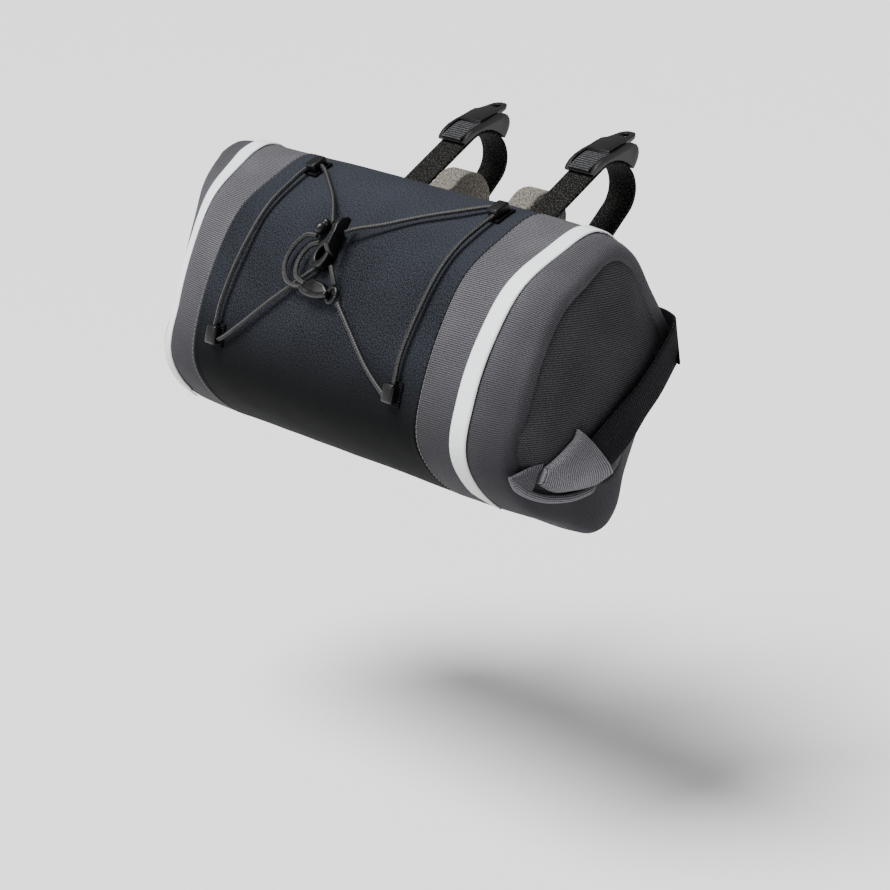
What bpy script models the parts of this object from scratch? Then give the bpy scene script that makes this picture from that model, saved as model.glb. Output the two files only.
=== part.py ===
"""Bicycle handlebar bag: a soft tube bag with two closed ends, strapped to the bar.

Origin on the handlebar's axis, halfway along the bag. X runs along the bar,
-Y is the bag's front and +Z is up. All sizes are in metres.
"""

import math

import bmesh
import bpy
from mathutils import Matrix, Vector

# What the bag hangs on, and the gap that touching pieces keep
BAR_DIAMETER = 0.0318
GAP = 0.0003

# Soft body
MAIN_LENGTH = 0.190
SLEEVE_LENGTH = 0.065
BAG_DEPTH = 0.140
BAG_HEIGHT = 0.166
BAG_BEHIND_BAR = 0.030
BAG_TOP_ABOVE_BAR = 0.008
FABRIC = 0.0018
OUTLINE_POINTS = 44

# Reflective strips
STRIP_WIDTH = 0.011
STRIP_THICKNESS = 0.0007
STRIP_START = -0.060
STRIP_END = 0.205
STRIP_TIP = 0.018
# Columns: run round the sleeve, distance from the seam
STRIP_COURSE = ((-0.060, 0.0330), (0.010, 0.0330), (0.040, 0.0305), (0.070, 0.0280), (0.110, 0.0255), (0.205, 0.0250))

# Closed ends
FLAP_THICKNESS = 0.005
WEBBING_WIDTH = 0.025
WEBBING_THICKNESS = 0.0016
CLOSURE_LIFT = 0.0011
WEBBING_LIFT = 0.0022

# Cord and its guides
CORD_DIAMETER = 0.0026
PATCH_SIZE = (0.010, 0.0135)
PATCH_THICKNESS = 0.0010
GUIDE_SIZE = (0.0085, 0.0115)
GUIDE_HEIGHT = 0.0055

# Straps and buckles
STRAP_PLACES = {"left": -0.048, "right": 0.057}
STRAP_WIDTH = 0.0205
STRAP_THICKNESS = 0.0022
TAIL_WIDTH = 0.016
TAIL_THICKNESS = 0.0016
BUCKLE_WIDTH = 0.0225
BUCKLE_CHEEK = 0.0024
BUCKLE_FLOOR = 0.0015
LEVER_HOLE = 0.0045
# Degrees about the bar where the strap meets and leaves it, and its sewn ends on the bag's back
STRAP_WRAP = (118.5, -50)
TAIL_END = 98
STRAP_UPPER_RUNS = (-0.050, -0.044, -0.038)
STRAP_LOWER_RUNS = (-0.086, -0.092, -0.098)

# Foam spacers
SPACER_PLACES = {"left": -0.0275, "right": 0.0355}
SPACER_WIDTH = 0.018
# Runs where the foam meets the bag's back, upper edge first
SPACER_RUNS = (-0.034, -0.072)

CENTRE_Y = -BAG_BEHIND_BAR - BAG_DEPTH / 2
CENTRE_Z = BAG_TOP_ABOVE_BAR - BAG_HEIGHT / 2
PATCH_LIFT = 2 * GAP + PATCH_THICKNESS
CORD_LIFT = PATCH_LIFT + 2 * GAP + CORD_DIAMETER / 2

# The bag's cross-section from its top edge, round the front and the bottom
# Columns: back share of the depth, up share of the height
OUTLINE = (
    (0.600, 0.997),
    (0.430, 0.945),
    (0.250, 0.855),
    (0.125, 0.705),
    (0.035, 0.530),
    (0.000, 0.375),
    (0.060, 0.255),
    (0.190, 0.150),
    (0.380, 0.070),
    (0.555, 0.008),
    (0.655, 0.060),
    (0.700, 0.190),
    (0.800, 0.370),
    (0.925, 0.520),
    (0.945, 0.640),
    (0.830, 0.810),
    (0.730, 0.945),
)

# How each sleeve draws in towards its end
# Columns: along share of the sleeve, then front, back, top and bottom shares of the half section, and how
# much of its fullness the lower front corner keeps
TAPER = {
    "right": (
        (0.00, 1.000, 1.000, 1.000, 1.000, 0.60),
        (0.38, 0.965, 1.000, 1.000, 1.000, 0.60),
        (0.54, 0.940, 0.990, 0.990, 1.000, 0.60),
        (0.70, 0.910, 0.980, 0.980, 0.990, 0.60),
        (0.84, 0.875, 0.955, 0.955, 0.965, 0.60),
        (0.94, 0.830, 0.880, 0.920, 0.860, 0.60),
        (1.00, 0.770, 0.790, 0.870, 0.660, 0.60),
    ),
    "left": (
        (0.00, 1.000, 1.000, 1.000, 1.000, 1.00),
        (0.19, 0.965, 0.990, 1.000, 1.000, 1.00),
        (0.38, 0.915, 0.980, 1.000, 1.000, 0.95),
        (0.50, 0.850, 0.960, 1.000, 1.000, 0.90),
        (0.62, 0.760, 0.930, 1.000, 1.000, 0.75),
        (0.75, 0.650, 0.880, 1.000, 0.980, 0.60),
        (0.88, 0.500, 0.800, 0.990, 0.920, 0.50),
        (1.00, 0.350, 0.680, 0.950, 0.800, 0.45),
    ),
}

# The folded end panel inside the sleeve's rim
# Columns: reach as a share of the rim, rise out of the rim as a share of the sleeve's length
END_DOME = (
    (0.972, -0.045),
    (0.94, -0.030),
    (0.86, 0.020),
    (0.70, 0.065),
    (0.45, 0.105),
    (0.20, 0.120),
)

# The roll's lower end, folded back over the end panel
# Columns: upper edge's back and up, lower edge's back and up, as shares of the rim from its centre
FLAP = (
    (-0.80, -0.50, -0.84, -0.62),
    (-0.66, -0.40, -0.60, -0.78),
    (-0.52, -0.32, -0.34, -0.86),
    (-0.44, -0.26, -0.05, -0.82),
    (-0.38, -0.21, 0.11, -0.70),
)

# The closing strap: its way from the fold to the rim, in shares, then back round the sleeve's rear corner
CLOSURE_SHARES = (0.11, 0.30, 0.50, 0.72)
# Columns: along share of the sleeve, how far the strap faces the bag's end there
CLOSURE_TURN = ((0.99, 1.2), (0.94, 0.85), (0.88, 0.6), (0.75, 0.4), (0.62, 0.3), (0.50, 0.2), (0.34, 0.1))
CLOSURE_RUNS = {"left": -0.076, "right": -0.092}

# The main panel's length, and the length round the section, that the places on the front are given for
LAID_OUT_LENGTH = 0.190
LAID_OUT_GIRTH = 0.4510

# Cord guides
# Columns: name, place along the bar, run down the front from the bag's top edge
GUIDES = (
    ("top_left", -0.070, 0.012),
    ("bottom_left", -0.074, 0.127),
    ("top_right", 0.079, 0.010),
    ("bottom_right", 0.077, 0.126),
)

# Cord routes
# Columns: place along the bar, run down the front, height over the cord's rest height
CORD_LEFT = (
    (-0.0115, 0.0508, 0.003), (-0.030, 0.035, 0.001), (-0.050, 0.021, 0.000), (-0.063, 0.013, 0.000),
    (-0.070, 0.012, 0.000), (-0.0735, 0.017, 0.000), (-0.073, 0.030, 0.000), (-0.071, 0.050, 0.000),
    (-0.071, 0.070, 0.000), (-0.073, 0.090, 0.000), (-0.0745, 0.108, 0.000), (-0.0745, 0.118, 0.000),
    (-0.0745, 0.124, 0.000), (-0.0725, 0.128, 0.000), (-0.0675, 0.1275, 0.000), (-0.054, 0.117, 0.000),
    (-0.034, 0.099, 0.000), (-0.0085, 0.0755, 0.000),
)
CORD_RIGHT = (
    (0.0055, 0.0520, 0.003), (0.020, 0.043, 0.001), (0.038, 0.029, 0.000), (0.056, 0.018, 0.000),
    (0.071, 0.009, 0.000), (0.078, 0.008, 0.000), (0.080, 0.013, 0.000), (0.079, 0.024, 0.000),
    (0.079, 0.040, 0.000), (0.080, 0.058, 0.000), (0.079, 0.080, 0.000), (0.077, 0.104, 0.000),
    (0.0775, 0.118, 0.000), (0.0775, 0.124, 0.000), (0.0755, 0.128, 0.000), (0.0705, 0.1275, 0.000),
    (0.053, 0.117, 0.000), (0.035, 0.103, 0.000), (0.0192, 0.0903, 0.001),
)
CORD_HOOKED = ((0.0128, 0.0815, 0.002), (0.0095, 0.0765, 0.0035), (0.0058, 0.0732, 0.003))
CORD_TAIL_OUTER = (
    (-0.0198, 0.0590, 0.000), (-0.0262, 0.0603, 0.001), (-0.0310, 0.0665, 0.001), (-0.0330, 0.0745, 0.001),
    (-0.0300, 0.0815, 0.0022), (-0.0235, 0.0870, 0.0034),
)
CORD_TAIL_INNER = (
    (-0.0140, 0.0625, 0.001), (-0.0195, 0.0655, 0.001), (-0.0225, 0.0715, 0.001), (-0.0215, 0.0785, 0.002),
    (-0.0175, 0.0832, 0.0033),
)

# Hooks that draw the cord together
# Columns: name, place along the bar, run down the front, height, length along, length down, rise, turn in degrees
HOOKS = (
    ("upper_hook", -0.0030, 0.0620, 0.0000, 0.0160, 0.0240, 0.0070, -25),
    ("hook_grip", 0.0003, 0.0590, 0.0078, 0.0045, 0.0270, 0.0110, -32),
    ("cord_lock", -0.0225, 0.0535, 0.0000, 0.0075, 0.0085, 0.0070, 0),
    ("lower_hook", 0.0015, 0.0865, 0.0000, 0.0290, 0.0090, 0.0080, -4),
)
HOOK_ROUNDING = 0.0018

COLOURS = {
    "navy": ((0.036, 0.040, 0.052), 0.85, 0.0),
    "grey": ((0.115, 0.112, 0.120), 0.85, 0.0),
    "silver": ((0.780, 0.820, 0.850), 0.35, 0.3),
    "webbing": ((0.010, 0.010, 0.012), 0.80, 0.0),
    "plastic": ((0.012, 0.012, 0.013), 0.35, 0.0),
    "rubber": ((0.035, 0.034, 0.033), 0.75, 0.0),
    "cord": ((0.060, 0.060, 0.065), 0.70, 0.0),
    "foam": ((0.250, 0.240, 0.215), 0.90, 0.0),
}


def clear_scene():
    """Remove what the file opens with."""
    for thing in list(bpy.data.objects):
        bpy.data.objects.remove(thing, do_unlink=True)


def finish(name):
    """Return the named finish as a material."""
    known = bpy.data.materials.get(name)
    if known:
        return known
    colour, roughness, metallic = COLOURS[name]
    material = bpy.data.materials.new(name)
    material.use_nodes = True
    shader = material.node_tree.nodes["Principled BSDF"]
    shader.inputs["Base Color"].default_value = (*colour, 1.0)
    shader.inputs["Roughness"].default_value = roughness
    shader.inputs["Metallic"].default_value = metallic
    return material


def collection(name):
    """Return the named collection, linked to the scene."""
    known = bpy.data.collections.get(name)
    if known:
        return known
    made = bpy.data.collections.new(name)
    bpy.context.scene.collection.children.link(made)
    return made


def add_object(name, data, look, place=None):
    """Link an object for the data, with its finish and place."""
    piece = bpy.data.objects.new(name, data)
    data.materials.append(finish(look))
    collection("handlebar_bag").objects.link(piece)
    if place is not None:
        piece.matrix_world = place
    return piece


def mesh_from(shape, name):
    """Turn a bmesh into mesh data and free it."""
    data = bpy.data.meshes.new(name)
    shape.to_mesh(data)
    shape.free()
    data.shade_smooth()
    data.set_sharp_from_angle(angle=math.radians(40))
    return data


def skin(name, rings, look, thickness, closed, middle=None):
    """Loft an open sheet through the rings and give it a wall on its inner side."""
    shape = bmesh.new()
    rows = [[shape.verts.new(point) for point in ring] for ring in rings]
    steps = len(rings[0]) if closed else len(rings[0]) - 1
    for low, high in zip(rows, rows[1:]):
        for i in range(steps):
            j = (i + 1) % len(low)
            shape.faces.new((low[i], low[j], high[j], high[i]))
    if middle is not None:
        apex = shape.verts.new(middle)
        for i in range(steps):
            shape.faces.new((rows[-1][i], rows[-1][(i + 1) % len(rows[-1])], apex))
    shape.normal_update()
    centre = Vector((0.0, CENTRE_Y, CENTRE_Z))
    lean = sum(face.normal.dot(face.calc_center_median() - centre) for face in shape.faces)
    if lean < 0:
        bmesh.ops.reverse_faces(shape, faces=shape.faces)
    piece = add_object(name, mesh_from(shape, name), look)
    wall = piece.modifiers.new("wall", "SOLIDIFY")
    wall.thickness = thickness
    wall.offset = -1.0
    return piece


def loft_solid(name, rings, look):
    """Loft a closed solid through loops of equal length, with flat ends."""
    shape = bmesh.new()
    rows = [[shape.verts.new(point) for point in ring] for ring in rings]
    for low, high in zip(rows, rows[1:]):
        for i in range(len(low)):
            j = (i + 1) % len(low)
            shape.faces.new((low[i], low[j], high[j], high[i]))
    shape.faces.new(rows[0])
    shape.faces.new(rows[-1])
    bmesh.ops.recalc_face_normals(shape, faces=shape.faces)
    return add_object(name, mesh_from(shape, name), look)


def curve_through(points, per_span, closed=False):
    """Return points on a smooth curve through the given ones."""
    count = len(points)
    spans = count if closed else count - 1

    def pick(i):
        if closed:
            return points[i % count]
        return points[min(max(i, 0), count - 1)]

    smooth = []
    for i in range(spans):
        before, start, end, after = pick(i - 1), pick(i), pick(i + 1), pick(i + 2)
        for k in range(per_span):
            t = k / per_span
            smooth.append(0.5 * (2 * start + (end - before) * t
                                 + (2 * before - 5 * start + 4 * end - after) * t * t
                                 + (3 * start - before - 3 * end + after) * t ** 3))
    if not closed:
        smooth.append(points[-1].copy())
    return smooth


def evenly(points, count):
    """Return points spaced evenly round a closed curve, and its length."""
    ends = points[1:] + points[:1]
    lengths = [(end - start).length for start, end in zip(points, ends)]
    total = sum(lengths)
    spaced = []
    passed, i = 0.0, 0
    for k in range(count):
        target = total * k / count
        while passed + lengths[i] < target:
            passed += lengths[i]
            i += 1
        spaced.append(points[i].lerp(ends[i], (target - passed) / lengths[i]))
    return spaced, total


def bag_outline():
    """Return the cross-section's points, top edge first, and its length round."""
    rows = [Vector((0.0, CENTRE_Y + (back - 0.5) * BAG_DEPTH, CENTRE_Z + (up - 0.5) * BAG_HEIGHT))
            for back, up in OUTLINE]
    return evenly(curve_through(rows, 12, closed=True), OUTLINE_POINTS)


SECTION, GIRTH = bag_outline()


def drawn_in(point, front, back, top, bottom, corner):
    """Scale a section point towards the section's centre, each half by its own share."""
    across = (point.y - CENTRE_Y) / (BAG_DEPTH / 2)
    up = (point.z - CENTRE_Z) / (BAG_HEIGHT / 2)
    keep = corner * 2 * across * up if across < 0 and up < 0 else 0.0
    share_y = front if across < 0 else back
    share_z = top if up > 0 else bottom
    share_y += (1 - share_y) * keep
    share_z += (1 - share_z) * keep
    return Vector((0.0, CENTRE_Y + across * share_y * BAG_DEPTH / 2, CENTRE_Z + up * share_z * BAG_HEIGHT / 2))


def sleeve_ring(side, share, shrink=1.0):
    """Return the sleeve's outline at a share of its length, on its own facets."""
    rows = TAPER[side]
    for low, high in zip(rows, rows[1:]):
        if share <= high[0]:
            break
    t = (share - low[0]) / (high[0] - low[0])
    shares = [a + (b - a) * t for a, b in zip(low[1:], high[1:])]
    sign = 1 if side == "right" else -1
    x = sign * (MAIN_LENGTH / 2 + GAP + share * SLEEVE_LENGTH)
    centre = Vector((0.0, CENTRE_Y, CENTRE_Z))
    ring = [centre + (drawn_in(point, *shares) - centre) * shrink for point in SECTION]
    return [point + Vector((x, 0, 0)) for point in ring]


def around(ring, run):
    """Return the point at a run round a ring and the ring's outward direction there."""
    place = (run / GIRTH) % 1.0 * len(ring)
    i = int(place)
    spots = [ring[(i + k) % len(ring)] for k in (-1, 0, 1, 2)]
    first = (spots[2] - spots[0]).normalized()
    second = (spots[3] - spots[1]).normalized()
    along = first.lerp(second, place - i).normalized()
    return spots[1].lerp(spots[2], place - i), Vector((0.0, along.z, -along.y)) * OUTWARD


def outward_sign():
    """Return the sign that turns a section's direction outward."""
    along = SECTION[1] - SECTION[0]
    away = SECTION[0] - Vector((0.0, CENTRE_Y, CENTRE_Z))
    return 1.0 if Vector((0.0, along.z, -along.y)).dot(away) > 0 else -1.0


OUTWARD = outward_sign()


def stretched(x, run):
    """Return a place on the front, moved with the bag's length and girth."""
    return x * MAIN_LENGTH / LAID_OUT_LENGTH, run * GIRTH / LAID_OUT_GIRTH


def panel_point(x, run, lift):
    """Return a point over the main panel's front."""
    x, run = stretched(x, run)
    point, out = around(SECTION, run)
    return Vector((x, 0, 0)) + point + out * lift


def panel_place(x, run, lift):
    """Return a frame on the main panel: X along the bar, Y down the run, Z outward."""
    x, run = stretched(x, run)
    point, out = around(SECTION, run)
    along = Vector((1.0, 0.0, 0.0))
    down = out.cross(along)
    turn = Matrix((along, down, out)).transposed().to_4x4()
    return Matrix.Translation(Vector((x, 0, 0)) + point + out * lift) @ turn


def block(name, size, look, place, bevel):
    """Make a box with rounded edges at a place, its base on the place's plane."""
    shape = bmesh.new()
    bmesh.ops.create_cube(shape, size=1.0)
    bmesh.ops.scale(shape, vec=Vector(size), verts=shape.verts)
    bmesh.ops.translate(shape, vec=Vector((0, 0, size[2] / 2)), verts=shape.verts)
    piece = add_object(name, mesh_from(shape, name), look, place)
    edge = piece.modifiers.new("rounding", "BEVEL")
    edge.width = bevel
    edge.segments = 2
    return piece


def plate(name, outline, thickness, look, place):
    """Extrude a flat outline by a thickness, half to each side of the place's plane."""
    data = bpy.data.curves.new(name, "CURVE")
    data.dimensions = "2D"
    data.fill_mode = "BOTH"
    data.extrude = thickness / 2
    spline = data.splines.new("POLY")
    spline.points.add(len(outline) - 1)
    for target, (across, up) in zip(spline.points, outline):
        target.co = (across, up, 0.0, 1.0)
    spline.use_cyclic_u = True
    return add_object(name, data, look, place)


def cord(name, points, radius, look="cord"):
    """Make a round cord with closed ends through the points."""
    data = bpy.data.curves.new(name, "CURVE")
    data.dimensions = "3D"
    data.bevel_depth = radius
    data.bevel_resolution = 2
    data.use_fill_caps = True
    spline = data.splines.new("POLY")
    spline.points.add(len(points) - 1)
    for target, point in zip(spline.points, points):
        target.co = (*point, 1.0)
    return add_object(name, data, look)


def as_mesh(piece):
    """Swap a curve object for a mesh object of the same name and shape."""
    bpy.context.view_layer.update()
    shape = bmesh.new()
    evaluated = piece.evaluated_get(bpy.context.evaluated_depsgraph_get())
    data = bpy.data.meshes.new_from_object(evaluated)
    shape.from_mesh(data)
    bmesh.ops.remove_doubles(shape, verts=shape.verts, dist=0.000001)
    bmesh.ops.recalc_face_normals(shape, faces=shape.faces)
    shape.to_mesh(data)
    shape.free()
    name, look, place = piece.name, piece.data.materials[0], piece.matrix_world.copy()
    bpy.data.objects.remove(piece, do_unlink=True)
    data.materials.clear()
    data.materials.append(look)
    made = bpy.data.objects.new(name, data)
    collection("handlebar_bag").objects.link(made)
    made.matrix_world = place
    return made


def hide_cutter(cutter):
    """Keep a cutter out of the model."""
    for home in list(cutter.users_collection):
        home.objects.unlink(cutter)
    collection("cutters").objects.link(cutter)
    cutter.hide_render = True
    cutter.display_type = "WIRE"


def cut(piece, cutter):
    """Cut a shape out of a piece."""
    hide_cutter(cutter)
    step = piece.modifiers.new("cut", "BOOLEAN")
    step.operation = "DIFFERENCE"
    step.object = cutter


def band(name, path, half_width, thickness, look):
    """Make a flat strap along (point, outward, across) stations."""
    rings = []
    for point, out, across in path:
        side, rise = across * half_width, out * (thickness / 2)
        rings.append([point - side - rise, point + side - rise, point + side + rise, point - side + rise])
    return loft_solid(name, rings, look)


def main_panel():
    """Make the middle of the bag, one wall all round and open at both seams."""
    rings = [[point + Vector((x, 0, 0)) for point in SECTION]
             for x in (-MAIN_LENGTH / 2, 0.0, MAIN_LENGTH / 2)]
    skin("main_panel", rings, "navy", FABRIC, closed=True)


def end_sleeve(side):
    """Make one end sleeve, drawn in towards its rim."""
    rings = [sleeve_ring(side, row[0]) for row in TAPER[side]]
    skin("end_sleeve_" + side, rings, "grey", FABRIC, closed=True)


def strip_distance(run):
    """Return how far the reflective strip lies from the seam at a run."""
    for low, high in zip(STRIP_COURSE, STRIP_COURSE[1:]):
        if run <= high[0]:
            break
    t = (run - low[0]) / (high[0] - low[0])
    return low[1] + (high[1] - low[1]) * t


def reflective_strip(side):
    """Make the light strip round the sleeve, ending in a slanted tip below."""
    facet = GIRTH / OUTLINE_POINTS
    corners = range(math.ceil(STRIP_START / facet), math.floor(STRIP_END / facet) + 1)
    runs = sorted([STRIP_START, STRIP_END - STRIP_TIP, STRIP_END] + [k * facet for k in corners])
    rows = []
    for run in runs:
        inner = strip_distance(run) / SLEEVE_LENGTH
        outer = inner + STRIP_WIDTH / SLEEVE_LENGTH
        left = STRIP_END - run
        tip = max(0.0, 1.0 - left / STRIP_TIP) * 0.94
        start = inner + (outer - inner) * tip
        row = []
        for share in (start, (start + outer) / 2, outer):
            point, out = around(sleeve_ring(side, share), run)
            row.append(point + out * (2 * GAP + STRIP_THICKNESS))
        rows.append(row)
    skin("reflective_strip_" + side, rows, "silver", STRIP_THICKNESS, closed=False)


def reach_share(rim, y, z):
    """Return how far a spot lies from the section's centre, as a share of the rim's distance."""
    aim = Vector((0.0, y - CENTRE_Y, z - CENTRE_Z))
    for start, end in zip(rim, rim[1:] + rim[:1]):
        a = Vector((0.0, start.y - CENTRE_Y, start.z - CENTRE_Z))
        b = Vector((0.0, end.y - CENTRE_Y, end.z - CENTRE_Z))
        turn_a, turn_b = a.cross(aim).x, aim.cross(b).x
        if turn_a * turn_b >= 0 and aim.dot(a + b) > 0:
            edge = b - a
            return aim.cross(edge).x / a.cross(edge).x
    return 0.0


def dome_point(side, back, up, lift):
    """Return a point over the end panel, at shares of the rim from its centre."""
    front, rear, top, bottom, _ = TAPER[side][-1][1:]
    y = CENTRE_Y + back * (front if back < 0 else rear) * BAG_DEPTH / 2
    z = CENTRE_Z + up * (top if up > 0 else bottom) * BAG_HEIGHT / 2
    return dome_spot(side, y, z, lift)


def dome_spot(side, y, z, lift):
    """Return a point over the end panel at a place across the bag."""
    reach = reach_share(sleeve_ring(side, 1.0), y, z)
    rise = END_DOME[-1][1]
    for high, low in zip(END_DOME, END_DOME[1:]):
        if reach >= low[0]:
            t = min(1.0, (reach - low[0]) / (high[0] - low[0]))
            rise = low[1] + (high[1] - low[1]) * t
            break
    sign = 1 if side == "right" else -1
    x = MAIN_LENGTH / 2 + GAP + SLEEVE_LENGTH * (1 + rise) + lift
    return Vector((sign * x, y, z))


def dome_facing(side, y, z):
    """Return the outward direction of the end panel at a place across the bag."""
    step = 0.004
    along = dome_spot(side, y + step, z, 0.0) - dome_spot(side, y - step, z, 0.0)
    up = dome_spot(side, y, z + step, 0.0) - dome_spot(side, y, z - step, 0.0)
    facing = along.cross(up).normalized()
    return facing if (facing.x > 0) == (side == "right") else -facing


def end_panel(side):
    """Make the folded end panel that closes the sleeve inside its rim."""
    sign = 1 if side == "right" else -1
    rings = []
    for reach, rise in END_DOME:
        ring = sleeve_ring(side, 1.0, shrink=reach)
        rings.append([point + Vector((sign * rise * SLEEVE_LENGTH, 0, 0)) for point in ring])
    middle = Vector((rings[-1][0].x + sign * 0.0003, CENTRE_Y, CENTRE_Z))
    skin("end_panel_" + side, rings, "grey", FABRIC, closed=True, middle=middle)


def closure_flap(side):
    """Make the roll's lower end, folded back over the end panel."""
    rings = []
    steps = 6
    for top_back, top_up, low_back, low_up in FLAP:
        low, high = [], []
        for k in range(steps + 1):
            t = k / steps
            crown = 1.0 - 0.45 * (2 * t - 1) ** 2
            place = (side, top_back + (low_back - top_back) * t, top_up + (low_up - top_up) * t)
            low.append(dome_point(*place, CLOSURE_LIFT))
            high.append(dome_point(*place, CLOSURE_LIFT + FLAP_THICKNESS * crown))
        rings.append(low + high[::-1])
    loft_solid("closure_flap_" + side, rings, "grey")


def closure_webbing(side):
    """Make the strap that pulls the folded end round to the back of the bag."""
    upper = dome_point(side, *FLAP[-1][:2], 0.0)
    lower = dome_point(side, *FLAP[-1][2:], 0.0)
    middle = (upper + lower) / 2
    rim, _ = around(sleeve_ring(side, 1.0), CLOSURE_RUNS[side])
    lift = WEBBING_LIFT + WEBBING_THICKNESS / 2
    sign = 1 if side == "right" else -1
    endward = Vector((sign, 0.0, 0.0))
    points, facings = [], []
    for share in CLOSURE_SHARES:
        spot = middle.lerp(rim, share)
        facings.append(dome_facing(side, spot.y, spot.z))
        points.append(dome_spot(side, spot.y, spot.z, 0.0) + facings[-1] * lift)
    for share, lean in CLOSURE_TURN:
        point, out = around(sleeve_ring(side, share), CLOSURE_RUNS[side])
        facing = (out + endward * lean).normalized()
        points.append(point + facing * lift)
        facings.append(facing)
    points = curve_through(points, 3)
    facings = curve_through(facings, 3)
    stations = []
    for k, (point, facing) in enumerate(zip(points, facings)):
        run = (points[min(k + 1, len(points) - 1)] - points[max(k - 1, 0)]).normalized()
        across = run.cross(facing).normalized()
        stations.append((point, across.cross(run), across))
    band("closure_webbing_" + side, stations, WEBBING_WIDTH / 2, WEBBING_THICKNESS, "webbing")


def cord_guides():
    """Make the four plastic guides, each on its sewn patch and cut for the cord."""
    for name, x, run in GUIDES:
        rows = [[panel_point(x + side * PATCH_SIZE[0] / 2, run + step * PATCH_SIZE[1] / 6, PATCH_LIFT)
                 for side in (-1, 1)] for step in range(-3, 4)]
        skin("guide_patch_" + name, rows, "webbing", PATCH_THICKNESS, closed=False)
        place = panel_place(x, run, PATCH_LIFT + GAP)
        guide = block("cord_guide_" + name, (*GUIDE_SIZE, GUIDE_HEIGHT), "plastic", place, 0.001)
        route = CORD_LEFT if x < 0 else CORD_RIGHT
        tunnel = as_mesh(cord("tunnel_" + name, cord_points(route), CORD_DIAMETER / 2 + GAP))
        cut(guide, tunnel)


def cord_points(route):
    """Return a cord's smooth path over the bag's front."""
    return curve_through([panel_point(x, run, CORD_LIFT + height) for x, run, height in route], 3)


def elastic_cords():
    """Make the cord's two loops, its hooked stretch and its two loose tails."""
    for name, route in (("left", CORD_LEFT), ("right", CORD_RIGHT), ("hooked", CORD_HOOKED),
                        ("tail_outer", CORD_TAIL_OUTER), ("tail_inner", CORD_TAIL_INNER)):
        cord("elastic_cord_" + name, cord_points(route), CORD_DIAMETER / 2)


def centre_hooks():
    """Make the plastic hooks, grip and lock that draw the cord together."""
    for name, x, run, height, along, down, rise, degrees in HOOKS:
        place = panel_place(x, run, GAP + height) @ Matrix.Rotation(math.radians(degrees), 4, "Z")
        block(name, (along, down, rise), "plastic", place, HOOK_ROUNDING)


def bar_circle(radius, start, end, steps):
    """Return points on a circle about the bar, by angle in degrees from +Y towards +Z."""
    spots = []
    for k in range(steps + 1):
        angle = math.radians(start + (end - start) * k / steps)
        spots.append(Vector((0, radius * math.cos(angle), radius * math.sin(angle))))
    return spots


def onto_bar(radius, before, end, steps):
    """Return points that run straight onto the circle where the strap meets it, then round to an angle."""
    arc = bar_circle(radius, STRAP_WRAP[0], end, steps)
    angle = math.radians(STRAP_WRAP[0])
    return [arc[0] + Vector((0, -math.sin(angle), math.cos(angle))) * before] + arc


def flat_strap(name, x, points, width, thickness, look):
    """Make a strap of even width along points that lie in one upright plane."""
    stations = []
    across = Vector((1, 0, 0))
    for k, point in enumerate(points):
        run = (points[min(k + 1, len(points) - 1)] - points[max(k - 1, 0)]).normalized()
        stations.append((point + Vector((x, 0, 0)), across.cross(run), across))
    band(name, stations, width / 2, thickness, look)


def bar_strap(side, x):
    """Make the loop from the bag round the bar, and the tail that the buckle grips."""
    radius = BAR_DIAMETER / 2 + GAP + STRAP_THICKNESS / 2
    lift = GAP + STRAP_THICKNESS / 2
    upper = [point + out * lift for point, out in (around(SECTION, run) for run in STRAP_UPPER_RUNS)]
    lower = [point + out * lift for point, out in (around(SECTION, run) for run in STRAP_LOWER_RUNS)]
    path = upper + bar_circle(radius, *STRAP_WRAP, 20) + lower
    flat_strap("bar_strap_" + side, x, path, STRAP_WIDTH, STRAP_THICKNESS, "rubber")
    tail_radius = BAR_DIAMETER / 2 + STRAP_THICKNESS + BUCKLE_FLOOR + 3 * GAP + TAIL_THICKNESS / 2
    flat_strap("strap_tail_" + side, x, onto_bar(tail_radius, 0.0085, TAIL_END, 4), TAIL_WIDTH, TAIL_THICKNESS, "webbing")


def side_place(x):
    """Return a frame whose X and Y are the bag's Y and Z, facing along the bar."""
    turn = Matrix(((0, 0, 1), (1, 0, 0), (0, 1, 0))).to_4x4()
    return Matrix.Translation((x, 0, 0)) @ turn


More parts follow.
